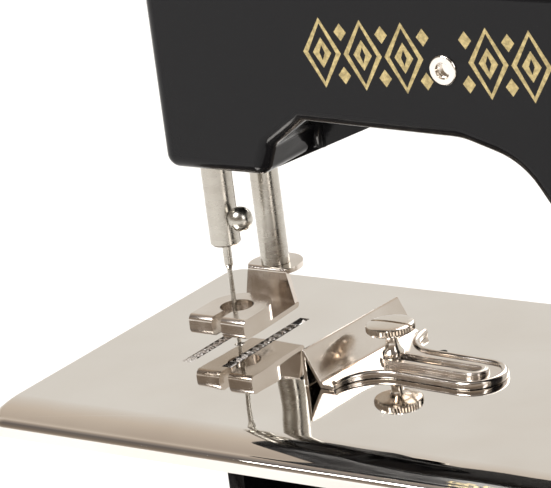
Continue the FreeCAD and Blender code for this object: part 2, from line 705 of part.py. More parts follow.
def groove_cone(body, x, y, radius, depth):
    """Countersink one hole from the bed's top face."""
    sketch = body.newObject("Sketcher::SketchObject", body.Name + "_sink")
    face = [item for item in body.Origin.OriginFeatures if item.Role == "XY_Plane"][0]
    sketch.AttachmentSupport = [(face, "")]
    sketch.MapMode = "FlatFace"
    sketch.AttachmentOffset = Placement(Vector(0, 0, pz(ZERO).value), Rotation())
    sketch.setExpression("AttachmentOffset.Base.z", pz(ZERO).text)
    draw_circle(sketch, x, y, radius)
    feature = body.newObject("PartDesign::Pocket", body.Name + "_sink_cut")
    feature.Profile = sketch
    feature.setExpression("Length", depth.text)
    feature.TaperAngle = -S.sink_angle.value
    body.Tip = feature
    doc.recompute()


def slotted_screw(place, axis, head_r, shank_r, sink, length, slot_half, slot_depth):
    """A flat countersunk screw with a driver slot, its head level with the place."""
    turn = {"-Z": "+Z", "+Z": "-Z"}[axis]
    x, y, z = place
    head = cone((x, y, z - sink), turn, shank_r, head_r, sink)
    shank = rod((x, y, z - length), turn, shank_r, length - sink / 2)
    saw = block(x - head_r, x + head_r, y - slot_half, y + slot_half, z - slot_depth, z + sink)
    return cut("Screw", fuse("Blank", head, shank), saw)


def plate_screws():
    """The four screws that hold the bed plate down."""
    sink = S.plate_screw_head_r - S.plate_screw_r
    screws = [slotted_screw((px(x), py(y), pz(ZERO)), "-Z", S.plate_screw_head_r,
                            S.plate_screw_r, sink, S.plate_screw_length,
                            S.plate_screw_slot, sink / 2)
              for x, y in plate_screw_places()]
    return group("plate_screws", *screws)


def needle_bar():
    """The round needle bar with its needle socket, clamp hole and stud hole."""
    low = pz(S.bar_bottom)
    bevel = S.bar_bevel
    bar = turned("needle_bar_blank",
                 [(ZERO, ZERO), (S.bar_r - bevel, ZERO), (S.bar_r, bevel),
                  (S.bar_r, BAR_TOP - S.bar_bottom), (ZERO, BAR_TOP - S.bar_bottom)],
                 (px(ZERO), py(ZERO), low))
    socket = rod((px(ZERO), py(ZERO), low - S.bar_r), "+Z",
                 S.needle_shank_r + S.needle_bore_clear, S.shank_up + S.bar_r)
    stud = rod((px(ZERO), py(S.stud_root), pz(S.pivot_z)), "+Y", S.stud_r, S.bar_r * 2)
    clamp = rod((px(ZERO), py(ZERO), low + S.clamp_up), "+X",
                S.clamp_neck_r + S.slide_clear, S.bar_r * 2)
    clamp.Placement.Rotation = clamp_direction()
    return cut("needle_bar", bar, socket, stud, clamp)


def clamp_direction():
    """Which way the clamp screw points: to the pillar, turned a little to the front."""
    return Rotation(Vector(0, 0, 1), S.clamp_turn.value).multiply(TURNS["+X"])


def needle():
    """The needle: shank, shoulder, blade with an eye, and point."""
    low = S.needle_tip
    top = S.bar_bottom + S.shank_up - S.play
    shoulder = S.bar_bottom - S.shank_down
    blank = turned("needle_blank",
                   [(ZERO, low - low), (S.needle_blade_r, S.tip_length),
                    (S.needle_blade_r, shoulder - S.taper - low),
                    (S.needle_shank_r, shoulder - low),
                    (S.needle_shank_r, top - low), (ZERO, top - low)],
                   (px(ZERO), py(ZERO), pz(low)))
    eye = rod((px(-S.bar_r), py(ZERO), pz(low + S.eye_up)), "+X", S.eye_r, S.bar_r * 2)
    return cut("needle", blank, eye)


def needle_clamp_screw():
    """The ball-headed screw that holds the needle: stem, coned neck and round head."""
    start = S.clamp_stem
    centre = S.bar_r + S.clamp_stand
    r = S.clamp_ball_r
    return turned("needle_clamp_screw",
                  [(ZERO, start), (S.clamp_neck_r, start), (S.clamp_neck_r, S.clamp_shoulder),
                   (r * S.ball_root_across, centre - r * S.ball_root_back), (ZERO, centre + r, r, 1)],
                  (px(ZERO), py(ZERO), pz(S.bar_bottom + S.clamp_up)), clamp_direction())


def needle_stud():
    """The stud of the needle bar that runs in the beam's fork."""
    start = S.stud_root
    rim = S.stud_tip - S.stud_rim
    return turned("needle_stud",
                  [(ZERO, ZERO), (S.stud_r, ZERO), (S.stud_r, rim - start),
                   (S.stud_rim_r, rim - start), (S.stud_rim_r, S.stud_tip - start),
                   (ZERO, S.stud_tip - start)],
                  (px(ZERO), py(start), pz(S.pivot_z)), TURNS["+Y"])


def take_up_eyelet():
    """The cap on the needle bar with the wire eye that takes up the thread."""
    top = BAR_TOP
    cap = rod(at(ZERO, ZERO, top), "+Z", S.cap_r, S.cap_height)
    eye = hoop(at(ZERO, ZERO, top + S.cap_height + S.loop_r), "+Y", S.loop_r, S.loop_wire)
    return fuse("take_up_eyelet", cap, eye)


def presser_bar():
    """The round presser bar with a tenon for the foot."""
    low = S.flange_top
    bar = rod(at(ZERO, S.presser_y, low), "+Z", S.presser_r, PRESSER_TOP - low)
    drop = S.sole_sheet + S.tenon_end
    tenon = rod(at(ZERO, S.presser_y, low - drop), "+Z", S.tenon_r, drop + S.wall)
    return fuse("presser_bar", bar, tenon)


def presser_foot():
    """The bent foot: eared flange, upright web, strip, and thick two-toed sole."""
    body = new_body("presser_foot")
    low = pz(S.foot_lift)
    strip_top = low + S.sole_sheet
    top = strip_top + S.sole_pad
    left = px(-S.sole_half)
    right = px(S.sole_half)
    web = px(S.web_half)
    spread = px(S.web_low_half)
    front = py(S.sole_front)
    web_back = py(S.web_y + S.web_sheet)
    ring = py(S.sole_ring_y)
    pad(body, "XY_Plane", [[(left, front), (right, front), (right, ring),
                            (spread, py(S.web_y)), (spread, web_back),
                            (px(-S.web_low_half), web_back),
                            (px(-S.web_low_half), py(S.web_y)), (left, ring)]],
        low, strip_top)
    pad(body, "XY_Plane", [[(left, front), (right, front), (right, ring),
                            (px(ZERO), ring + S.sole_half, S.sole_half, 1),
                            (left, ring, S.sole_half, 1)]], strip_top, top)
    soften(body, S.toe_round,
           lambda e: edge_along(e, Vector(1, 0, 0)) and near(e.Vertexes[0].Y, front))
    pad(body, "XZ_Plane", [[(px(-S.web_low_half), low), (spread, low),
                            (web, pz(S.flange_top)), (px(-S.web_half), pz(S.flange_top))]],
        py(S.web_y), web_back)
    pad(body, "XY_Plane", [[(px(-S.web_half), py(S.web_y), S.flange_r, 1),
                            (web, py(S.web_y)),
                            (px(S.flange_r), py(S.presser_y), S.flange_r, 1),
                            (px(ZERO), py(S.presser_y + S.flange_r), S.flange_r, 1),
                            (px(-S.flange_r), py(S.presser_y), S.flange_r, 1)]],
        pz(S.flange_top - S.sole_sheet), pz(S.flange_top))
    soften(body, S.foot_bend, lambda e: edge_along(e, Vector(1, 0, 0))
           and ((near(e.Vertexes[0].Y, py(S.web_y)) and near(e.Vertexes[0].Z, pz(S.flange_top)))
                or (near(e.Vertexes[0].Y, web_back) and near(e.Vertexes[0].Z, low))))
    half_gap = S.toe_gap / 2
    pocket(body, "XY_Plane", [capsule_outward(front - S.wall, py(ZERO), half_gap)], low, top)
    pocket(body, "XY_Plane", [(px(ZERO), py(S.eye_hole_y), S.eye_hole_r)], low, top)
    pocket(body, "XY_Plane", [(px(ZERO), py(S.presser_y), S.tenon_r)],
           pz(S.flange_top - S.sole_sheet * 2), pz(S.flange_top))
    return body


def capsule_outward(v0, v1, half):
    """The gap between the toes, square in front and round at the back."""
    return [(px(-half), v0), (px(half), v0), (px(half), v1), (px(-half), v1, half, 1)]


def presser_cap():
    """The round cap on top of the presser bar."""
    top = PRESSER_TOP
    bevel = S.knob_bevel
    return turned("presser_cap",
                  [(ZERO, ZERO), (S.knob_r, ZERO), (S.knob_r, S.knob_height - bevel),
                   (S.knob_r - bevel, S.knob_height), (ZERO, S.knob_height)],
                  at(ZERO, S.presser_y, top))


def presser_collar():
    """The collar on the presser bar, with a tail out of the head for the lifter."""
    z = S.collar_z
    ring = rod(at(ZERO, S.presser_y, z), "+Z", S.collar_r, S.collar_height)
    tail = block(px(-S.tail_half), px(S.tail_half), py(S.presser_y), py(S.tail_back),
                 pz(z), pz(z + S.tail_height))
    bore = rod(at(ZERO, S.presser_y, z - S.wall), "+Z", S.presser_r,
               S.collar_height + S.wall * 2)
    return cut("presser_collar", fuse("collar_blank", ring, tail), bore)


def coil(name, place, radius, wire, height, turns):
    """A coil spring of round wire, standing on a place, made from a helix."""
    pitch = (height.value - 2 * wire.value) / turns.value
    path = Part.makeHelix(pitch, pitch * turns.value, radius.value)
    start = Part.Circle(Vector(radius.value, 0, 0), Vector(0, 1, 0), wire.value)
    section = Part.Wire(start.toShape())
    shape = Part.Wire(path.Edges).makePipeShell([section], True, True)
    item = doc.addObject("Part::Feature", name)
    item.Label = name
    item.Shape = shape
    return put(item, (place[0], place[1], place[2] + wire))


def presser_spring():
    """The spring between the presser collar and the top of the head."""
    low = S.collar_z + S.collar_height + S.spring_gap
    high = S.top_z - S.wall - S.spring_gap
    return coil("presser_spring", at(ZERO, S.presser_y, low), S.spring_r, S.spring_wire,
                high - low, S.spring_turns)


def lifter_lever():
    """The presser lifter: a snail cam over its pivot and a handle."""
    body = new_body("lifter_lever")
    high = S.collar_z - S.lifter_z - S.cam_gap
    steps = int(S.cam_steps.value)
    points = []
    for step in range(steps + 1):
        share = step / steps
        radius = high - S.foot_drop * share
        angle = math.pi / 2 + math.radians(S.cam_turn.value) * share
        points.append((px(radius * math.cos(angle)) if step else px(ZERO),
                       pz(S.lifter_z + radius * math.sin(angle))))
    points.append((px(-S.lifter_hub_r), pz(S.lifter_z - S.lifter_hub_r)))
    points.append((px(S.lifter_half), pz(S.lifter_z - S.lifter_hub_r)))
    points.append((px(S.lifter_hub_r + S.lifter_half), pz(S.lifter_z - S.lifter_half)))
    points.append((px(S.lifter_length), pz(S.lifter_z - S.lifter_half)))
    points.append((px(S.lifter_length), pz(S.lifter_z + S.lifter_half), S.lifter_half, 1))
    points.append((px(S.lifter_web + S.lifter_half), pz(S.lifter_z + S.lifter_half)))
    points.append((px(S.lifter_half), pz(S.lifter_z + high)))
    front = py(S.frame_back + S.lifter_gap)
    pad(body, "XZ_Plane", [points], front, front + S.lifter_sheet)
    pocket(body, "XZ_Plane", [(px(ZERO), pz(S.lifter_z), S.lifter_pin_r + S.run_clear)],
           front, front + S.lifter_sheet)
    return body


def lifter_pin():
    """The shoulder screw that the lifter turns on."""
    start = S.frame_back - S.lifter_root
    head = S.lifter_root + S.lifter_gap * 2 + S.lifter_sheet
    return turned("lifter_pin",
                  [(ZERO, ZERO), (S.lifter_pin_r, ZERO), (S.lifter_pin_r, head),
                   (S.lifter_head_r, head), (S.lifter_head_r, head + S.lifter_head),
                   (ZERO, head + S.lifter_head)],
                  at(ZERO, start, S.lifter_z), TURNS["+Y"])


def walking_beam():
    """The beam in the arm: fork at the needle bar, hub, and slotted yoke at the crank."""
    body = new_body("walking_beam")
    z = S.pivot_z
    end = S.shaft_x + S.yoke_out + S.yoke_wall
    upper = [(end, S.yoke_half_height), (S.shaft_x - S.yoke_in - S.yoke_wall, S.yoke_half_height),
             (S.pivot_x, S.beam_half_mid + S.boss_step), (S.panel_in, S.beam_half_end),
             (S.beam_left, S.beam_half_end)]
    points = [(px(x), pz(z + half)) for x, half in upper]
    points += [(px(x), pz(z - half)) for x, half in reversed(upper)]
    back = py(S.beam_back)
    front = py(S.beam_front)
    pad(body, "XZ_Plane", [points], front, back)
    soften(body, S.boss_step, lambda e: edge_along(e, Vector(0, 1, 0)))
    pad(body, "XZ_Plane", [(px(S.pivot_x), pz(z), S.beam_hub_r)],
        py(S.frame_front + S.wall + S.boss_step + S.play), back)
    slot = S.stud_r + S.stud_clear
    yoke = S.crank_pin_r + S.stud_clear
    pocket(body, "XZ_Plane", [box_loop(px(S.beam_left - slot), px(S.beam_slot),
                                       pz(z - slot), pz(z + slot))], front, back)
    pocket(body, "XZ_Plane", [box_loop(px(S.shaft_x - S.yoke_in), px(S.shaft_x + S.yoke_out),
                                       pz(z - yoke), pz(z + yoke))], front, back)
    pocket(body, "XZ_Plane", [(px(S.pivot_x), pz(z), S.pivot_r + S.run_clear)],
           py(S.frame_front), back)
    near_hub = S.pivot_x - S.panel_hub
    far_hub = S.pivot_x + S.panel_hub
    pocket(body, "XZ_Plane",
           [capsule_loop(px(S.panel_in), px(near_hub), pz(z), S.panel_half),
            capsule_loop(px(far_hub), px(S.shaft_x - S.panel_yoke), pz(z), S.panel_half)],
           back - S.beam_panel, back)
    return body


def pivot_pin():
    """The beam's pivot pin, its socketed end proud of the arm's front face."""
    start = S.frame_front - S.pivot_proud
    length = S.beam_back + S.play + S.pivot_nut + S.pivot_proud - start
    bevel = S.pivot_proud / 2
    return turned("pivot_pin",
                  [(ZERO, S.pivot_socket), (S.pivot_socket_r, S.pivot_socket),
                   (S.pivot_socket_r, ZERO), (S.pivot_r - bevel, ZERO), (S.pivot_r, bevel),
                   (S.pivot_r, length - bevel), (S.pivot_r - bevel, length), (ZERO, length)],
                  at(S.pivot_x, start, S.pivot_z), TURNS["+Y"])


def hex_nut(name, place, turn, across, bore, height):
    """A six-sided nut standing on a place."""
    prism = doc.addObject("Part::Prism", name + "_hex")
    prism.Polygon = 6
    add_lengths(prism, Circumradius=across, Height=height)
    put(prism, place, TURNS[turn])
    hole = rod(place, turn, bore, height)
    return cut(name, prism, hole)


def pivot_nut():
    """The nut that keeps the beam on its pivot pin."""
    return hex_nut("pivot_nut", at(S.pivot_x, S.beam_back + S.play, S.pivot_z), "+Y",
                   S.pivot_nut_r, S.pivot_r, S.pivot_nut)


def involute(angle):
    """The involute function of an angle in radians."""
    return math.tan(angle) - angle


def toothed_disc(name, teeth, place, height):
    """A spur gear blank: a disc with involute teeth, one gap on its local X axis."""
    module = S.module_size.value
    pitch_r = teeth.value * module / 2
    pressure = math.radians(S.pressure_angle.value)
    base_r = pitch_r * math.cos(pressure)
    outer = pitch_r + S.addendum.value * module
    root = pitch_r - S.dedendum.value * module
    half_tooth = math.pi / (2 * teeth.value) - S.backlash.value / pitch_r
    start = max(base_r, root)
    stations = [start + (outer - start) * n / FLANK_STEPS for n in range(FLANK_STEPS + 1)]
    flank = [(root, base_r)] if root < base_r else []
    flank += [(r, r) for r in stations]
    points = []
    for tooth in range(int(teeth.value)):
        middle = 2 * math.pi * (tooth + 0.5) / teeth.value
        for side, run in ((-1, flank), (1, flank[::-1])):
            for radius, station in run:
                slope = math.acos(min(base_r / station, 1))
                half = half_tooth + involute(pressure) - involute(slope)
                angle = middle + side * half
                points.append(Vector(radius * math.cos(angle), radius * math.sin(angle), 0))
    outline = Part.makePolygon(points + points[:1])
    item = doc.addObject("Part::Feature", name)
    item.Shape = Part.Face(outline).extrude(Vector(0, 0, height.value))
    return put(item, place, TURNS["+Y"])


def drive_wheel():
    """The spoked hand wheel: toothed rim, hub, spokes and a boss for the handle."""
    x = px(S.shaft_x)
    z = pz(wheel_z())
    y = py(S.wheel_front)
    thick = S.wheel_back - S.wheel_front
    root = gear_radius(S.wheel_teeth) - S.dedendum * S.module_size
    inner = root - S.rim
    teeth = toothed_disc("wheel_teeth", S.wheel_teeth, (x, y, z), thick)
    hollow = rod((x, y, z), "+Y", inner, thick)
    rim = cut("wheel_rim", teeth, hollow)
    hub = rod((x, py(S.hub_front), z), "+Y", S.hub_r, S.boss_front - S.play - S.hub_front)
    middle = y + (thick - S.spoke_sheet) / 2
    arms = []
    for index in range(int(S.spoke_count.value)):
        arm = doc.addObject("Part::Box", "Spoke")
        add_lengths(arm, Length=inner + S.rim / 2, Width=S.spoke_half * 2, Height=S.spoke_sheet)
        angle = 360 / S.spoke_count.value * index
        turn = TURNS["+Y"].multiply(Rotation(Vector(0, 0, 1), angle))
        slip = turn.multVec(Vector(0, -S.spoke_half.value, 0))
        put(arm, (x + slip.x, middle + slip.y, z + slip.z), turn)
        arms.append(arm)
    boss = rod((x + S.handle_throw, y, z), "+Y", S.handle_boss_r, thick)
    bore = rod((x, py(S.hub_front), z), "+Y", S.stud_shaft_r + S.run_clear,
               S.boss_front - S.hub_front)
    tapped = rod((x + S.handle_throw, y, z), "+Y", S.handle_screw_r, thick)
    return cut("drive_wheel", fuse("wheel_blank", rim, hub, boss, *arms), bore, tapped)


def wheel_stud():
    """The shoulder screw in the pillar that the drive wheel turns on."""
    start = S.frame_front + S.wall + S.boss_step
    head = S.hub_front - S.play
    top = start - head
    return turned("wheel_stud",
                  [(ZERO, ZERO), (S.stud_shaft_r, ZERO), (S.stud_shaft_r, top),
                   (S.stud_head_r, top), (S.stud_head_r, top + S.stud_head / 2),
                   (S.stud_head_r - S.stud_head / 2, top + S.stud_head),
                   (ZERO, top + S.stud_head)],
                  at(S.shaft_x, start, wheel_z()), TURNS["-Y"])


def crank_bush():
    """The flanged bearing of the crank shaft, pressed into the pillar's front wall."""
    start = S.boss_front - S.bush_flange
    length = S.frame_front + S.wall + S.boss_step - start
    bore = S.crank_r + S.run_clear
    return turned("crank_bush",
                  [(bore, ZERO), (S.bush_flange_r, ZERO), (S.bush_flange_r, S.bush_flange),
                   (S.bush_r, S.bush_flange), (S.bush_r, length), (bore, length)],
                  at(S.shaft_x, start, S.pivot_z), TURNS["+Y"])


def crank_shaft():
    """The short shaft that carries pinion and crank disc."""
    length = DISC_BACK - S.shaft_front
    bevel = S.shaft_bevel
    return turned("crank_shaft",
                  [(ZERO, ZERO), (S.crank_r - bevel, ZERO), (S.crank_r, bevel),
                   (S.crank_r, length), (ZERO, length)],
                  at(S.shaft_x, S.shaft_front, S.pivot_z), TURNS["+Y"])


def pinion():
    """The small gear on the crank shaft."""
    place = at(S.shaft_x, S.pinion_front, S.pivot_z)
    length = S.pinion_back - S.pinion_front
    return cut("pinion", toothed_disc("pinion_teeth", S.pinion_teeth, place, length),
               rod(place, "+Y", S.crank_r, length))


def crank_disc():
    """The counterweighted disc inside the pillar."""
    place = at(S.shaft_x, DISC_FRONT, S.pivot_z)
    length = DISC_BACK - DISC_FRONT
    pin_hole = rod(at(S.shaft_x + S.pin_throw, DISC_FRONT, S.pivot_z), "+Y",
                   S.crank_pin_r, length)
    return cut("crank_disc", rod(place, "+Y", S.disc_r, length),
               rod(place, "+Y", S.crank_r, length), pin_hole)


def crank_pin():
    """The crank pin in the disc, its end just short of the beam's yoke."""
    return named("crank_pin",
                 rod(at(S.shaft_x + S.pin_throw, DISC_FRONT, S.pivot_z), "+Y",
                     S.crank_pin_r, S.beam_front - S.pin_gap - DISC_FRONT))


def handle_knob():
    """The turned handle that spins on its screw."""
    length = S.handle_back - S.handle_front
    bore = S.handle_screw_r + S.run_clear
    r = S.handle_r
    return turned("handle_knob",
                  [(bore, ZERO), (S.handle_end_r, ZERO), (r, S.handle_dome), (r, S.handle_belly),
                   (S.handle_neck_r, S.handle_waist), (S.handle_neck_r, S.handle_waist_end),
                   (r, S.handle_bead), (r, length), (bore, length)],
                  (px(S.shaft_x + S.handle_throw), py(S.handle_front), pz(wheel_z())),
                  TURNS["+Y"])


def handle_screw():
    """The long shoulder screw of the handle."""
    start = S.handle_front - S.play - S.handle_head
    length = S.wheel_back - start
    return turned("handle_screw",
                  [(ZERO, ZERO), (S.handle_head_r - S.play, ZERO), (S.handle_head_r, S.play),
                   (S.handle_head_r, S.handle_head), (S.handle_screw_r, S.handle_head),
                   (S.handle_screw_r, length), (ZERO, length)],
                  (px(S.shaft_x + S.handle_throw), py(start), pz(wheel_z())), TURNS["+Y"])


def tension_post():
    """The thread tension's post on top of the arm."""
    root = S.wall
    top = S.tension_rise + root
    return turned("tension_post",
                  [(ZERO, ZERO), (S.tension_r, ZERO), (S.tension_r, root),
                   (S.tension_base_r, root), (S.tension_base_r, root + S.tension_base),
                   (S.tension_r, root + S.tension_base), (S.tension_r, top), (ZERO, top)],
                  at(S.tension_x, S.tension_y, S.top_z - root))


def tension_disc(name, height, side):
    """One dished tension disc; side 1 dishes up, side -1 dishes down."""
    bore = S.tension_r
    r = S.disc_wide
    thin = S.disc_sheet
    flat = S.disc_flat_r
    rise = S.disc_gap * 2
    if side > 0:
        profile = [(bore, ZERO), (flat, ZERO), (r, rise), (r, rise + thin),
                   (flat, thin), (bore, thin)]
    else:
        profile = [(bore, rise), (flat, rise), (r, ZERO), (r, thin),
                   (flat, rise + thin), (bore, rise + thin)]
    return turned(name, profile, at(S.tension_x, S.tension_y, height))


def tension_parts():
    """Both discs, the spring over them and the thumb nut."""
    low = S.top_z + S.tension_base
    dish = S.disc_gap * 2
    upper = low + S.disc_sheet
    spring = upper + dish + S.disc_sheet
    nut = spring + S.tension_spring_height
    r = S.tension_nut_r
    place = at(S.tension_x, S.tension_y, nut)
    bore = S.tension_r + S.nut_clear
    return [
        tension_disc("tension_disc_lower", low, -1),
        tension_disc("tension_disc_upper", upper + dish, 1),
        coil("tension_spring", at(S.tension_x, S.tension_y, spring), S.tension_spring_r,
             S.tension_wire, S.tension_spring_height - S.nut_clear, S.tension_turns),
        turned("tension_nut",
               [(bore, ZERO), (r, ZERO), (r, S.tension_nut_side),
                (S.tension_nut_top_r, S.tension_nut), (bore, S.tension_nut)], place),
    ]


def spool_pin():
    """The spool pin with its round base, set in the top of the arm."""
    root = S.spool_root
    base = root + S.spool_base
    top = S.spool_rise + root
    return turned("spool_pin",
                  [(ZERO, ZERO), (S.spool_r, ZERO), (S.spool_r, root), (S.spool_base_r, root),
                   (S.spool_base_r, base - S.spool_base / 2), (S.spool_r + S.spool_base / 2, base),
                   (S.spool_r, base + S.spool_base / 2), (S.spool_r, top - S.spool_r),
                   (ZERO, top, S.spool_r, 1)],
                  at(S.spool_x, S.spool_y, S.top_z - root))


def thread_guide():
    """The wire eye on top of the head."""
    stem = rod(at(S.guide_wire_x, S.guide_wire_y, S.top_z - S.wall), "+Z", S.wire_r,
               S.wall + S.wire_rise)
    eye = hoop(at(S.guide_wire_x, S.guide_wire_y, S.top_z + S.wire_rise + S.wire_loop_r),
               "+Y", S.wire_loop_r, S.wire_r)
    return fuse("thread_guide", stem, eye)


def feed_dog():
    """The feed dog: two toothed rows, the bridge behind the needle, and its stem."""
    body = new_body("feed_dog")
    top = pz(S.feed_top)
    low = top - S.feed_row_depth
    bridge_low = low - S.feed_bridge
    front = py(S.feed_front)
    back = front + S.tooth_count * S.tooth_pitch
    reach = S.slot_x + S.feed_row_half
    rows = [box_loop(px(side - S.feed_row_half), px(side + S.feed_row_half), front, back)
            for side in (S.slot_x, -S.slot_x)]
    pad(body, "XY_Plane", [box_loop(px(-reach), px(reach), back - S.carrier_half * 2, back)],
        bridge_low, low)
    pad(body, "XY_Plane", rows, bridge_low, top)
    stem_y = py(S.carrier_y)
    pad(body, "XY_Plane", [box_loop(px(-S.feed_stem_half), px(S.feed_stem_half),
                                    stem_y - S.feed_stem_deep, stem_y + S.feed_stem_deep)],
        pz(S.carrier_low), low)
    groove = pocket(body, "YZ_Plane",
                    [[(front + S.tooth_land, top), (front + S.tooth_pitch, top),
                      (front + S.tooth_pitch, top - S.tooth_depth)]], px(-reach), px(reach))
    pattern = body.newObject("PartDesign::LinearPattern", "tooth_rows")
    pattern.Originals = [groove]
    axis = [item for item in body.Origin.OriginFeatures if item.Role == "Y_Axis"][0]
    pattern.Direction = (axis, [""])
    pattern.setExpression("Length", (S.tooth_pitch * (S.tooth_count - 1)).text)
    pattern.setExpression("Occurrences", S.tooth_count.text)
    body.Tip = pattern
    doc.recompute()
    return body


def feed_carrier():
    """The long bar that carries the feed dog to and fro."""
    y = py(S.carrier_y)
    bar = block(px(S.carrier_left), px(S.carrier_right), y - S.carrier_half,
                y + S.carrier_half, pz(S.carrier_low), pz(S.carrier_high))
    side = S.feed_stem_half + S.feed_socket
    deep = S.feed_stem_deep + S.feed_socket
    socket = block(px(-side), px(side), y - deep, y + deep, pz(S.carrier_low - S.wall),
                   pz(S.carrier_high + S.wall))
    return cut("feed_carrier", bar, socket)


def looper_shaft():
    """The rocking shaft along the bed."""
    length = S.looper_right - S.looper_left
    return named("looper_shaft", rod(at(S.looper_left, S.looper_y, S.looper_z), "+X",
                                     S.looper_r, length))


def looper():
    """The looper: a hub on the shaft, an upright arm and a bent hook under the needle."""
    half = S.looper_hub / 2
    hub = rod(at(-half, S.looper_y, S.looper_z), "+X", S.looper_hub_r, S.looper_hub)
    x = S.hook_x
    arm = cone(at(x, S.looper_y, S.looper_z + S.looper_r), "+Z", S.hook_root_r, S.hook_r,
               S.hook_reach - S.looper_r)
    elbow = ball(at(x, S.looper_y, S.looper_z + S.hook_reach), S.hook_r)
    tip = cone(at(x, S.looper_y, S.looper_z + S.hook_reach), "-Y", S.hook_r,
               S.hook_point_r, S.hook_tip)
    bore = rod(at(-S.looper_hub, S.looper_y, S.looper_z), "+X", S.looper_r, S.looper_hub * 2)
    return cut("looper", fuse("looper_blank", hub, arm, elbow, tip), bore)


def looper_rocker():
    """The rocker arm on the looper shaft's far end, with its roller pin hole."""
    z = S.looper_z
    length = S.rocker_right - S.rocker_left
    hub = rod(at(S.rocker_left, S.looper_y, z), "+X", S.looper_hub_r, length)
    arm = block(px(S.rocker_left), px(S.rocker_right), py(S.looper_y),
                py(S.looper_y + S.rocker_reach), pz(z - S.rocker_half), pz(z + S.rocker_half))
    eye = rod(at(S.rocker_left, S.looper_y + S.rocker_reach, z), "+X", S.rocker_half, length)
    bore = rod(at(S.rocker_left, S.looper_y, z), "+X", S.looper_r, length)
    hole = rod(at(S.rocker_left, S.looper_y + S.rocker_reach, z), "+X", S.looper_r / 2, length)
    return cut("looper_rocker", fuse("rocker_blank", hub, arm, eye), bore, hole)


def looper_roller():
    """The follower roller on the rocker arm, with its pin."""
    y = S.looper_y + S.rocker_reach
    pin = rod(at(S.rocker_left, y, S.looper_z), "+X", S.looper_r / 2,
              S.rocker_right - S.rocker_left + S.roller)
    wheel = rod(at(S.rocker_right, y, S.looper_z), "+X", S.roller_r, S.roller)
    return fuse("looper_roller", pin, wheel)


def shaft_collars():
    """Two collars that keep the looper shaft from moving along."""
    gap = S.play
    starts = (S.box_left + S.wall + gap, S.web_left - gap - S.looper_hub)
    rings = []
    for start in starts:
        ring = rod(at(start, S.looper_y, S.looper_z), "+X", S.keeper_r, S.looper_hub)
        bore = rod(at(start, S.looper_y, S.looper_z), "+X", S.looper_r, S.looper_hub)
        rings.append(cut("Collar", ring, bore))
    return group("shaft_collars", *rings)


def guide_place(height):
    """The thumbscrew's axis at a height over the bed."""
    return at(S.screw_x, S.screw_y, height)


def seam_guide():
    """The bent sheet guide: upright fence, ramp, and slotted tab with a raised rim."""
    body = new_body("seam_guide")
    thin = S.guide_sheet
    x = S.fence_x
    high = S.fence_high
    foot = S.ramp_foot
    flat = S.flat_end
    bend = foot + thin / 2
    pad(body, "XZ_Plane", [[(x, ZERO), (x + thin, ZERO), (x + thin, high - S.fence_throat),
                            (foot, ZERO), (flat, ZERO), (flat, thin), (bend, thin),
                            (x + S.fence_top, high), (x, high)]],
        S.fence_front, S.fence_back)
    wide = S.tab_half + S.flare_r
    tab = [(foot, -wide), (flat, -wide), (flat + S.flare_r, -S.tab_half, S.flare_r, -1),
           (S.tab_end, -S.tab_half), (S.tab_end, S.tab_half, S.tab_half, 1),
           (flat + S.flare_r, S.tab_half), (flat, wide, S.flare_r, -1), (foot, wide)]
    pad(body, "XY_Plane", [tab], ZERO, thin)
    soften(body, S.ramp_bend,
           lambda e: edge_along(e, Vector(0, 1, 0)) and near(e.Vertexes[0].X, bend)
           and near(e.Vertexes[0].Z, thin))
    near_end = S.tab_slot_near
    far_end = S.tab_slot_far
    rim = S.tab_slot_half + S.tab_rim_wide
    pad(body, "XY_Plane", [capsule_loop(near_end, far_end, ZERO, rim)], thin / 2,
        thin + S.tab_rim)
    pocket(body, "XY_Plane", [capsule_loop(near_end, far_end, ZERO, S.tab_slot_half)],
           ZERO, thin + S.tab_rim)
    turn = Rotation(Vector(0, 0, 1), S.guide_turn.value)
    return put(body, guide_place(S.guide_gap), turn)


def guide_bush():
    """The sleeve round the thumbscrew that the guide's slot runs on."""
    height = S.guide_sheet + S.tab_rim
    place = guide_place(S.guide_gap)
    return cut("guide_bush", rod(place, "+Z", S.bush_out_r, height),
               rod(place, "+Z", S.bush_in_r, height))


def guide_thumbscrew():
    """The slotted, knurled thumbscrew with its flared neck and collar."""
    start = S.thumb_end
    seat = S.guide_gap + S.guide_sheet + S.tab_rim + S.guide_gap
    head = S.thumb_top - S.thumb_head
    r = S.thumb_head_r
    bevel = S.thumb_bevel
    blank = turned("thumbscrew_blank",
                   [(ZERO, ZERO), (S.thumb_stem_r, ZERO), (S.thumb_stem_r, seat - start),
                    (S.thumb_collar_r, seat - start),
                    (S.thumb_collar_r, seat + bevel * 2 - start),
                    (S.thumb_neck_r, seat + S.thumb_flare - start),
                    (S.thumb_neck_r, head - bevel - start), (r - bevel * 2, head - start),
                    (r, head + bevel - start), (r, S.thumb_top - bevel - start),
                    (r - bevel, S.thumb_top - start), (ZERO, S.thumb_top - start)],
                   guide_place(start))
    x = px(S.screw_x)
    y = py(S.screw_y)
    saw = block(x - r, x + r, y - S.thumb_slot_half, y + S.thumb_slot_half,
                pz(S.thumb_top - S.thumb_slot), pz(S.thumb_top + S.thumb_slot))
    return cut("guide_thumbscrew", blank, saw)


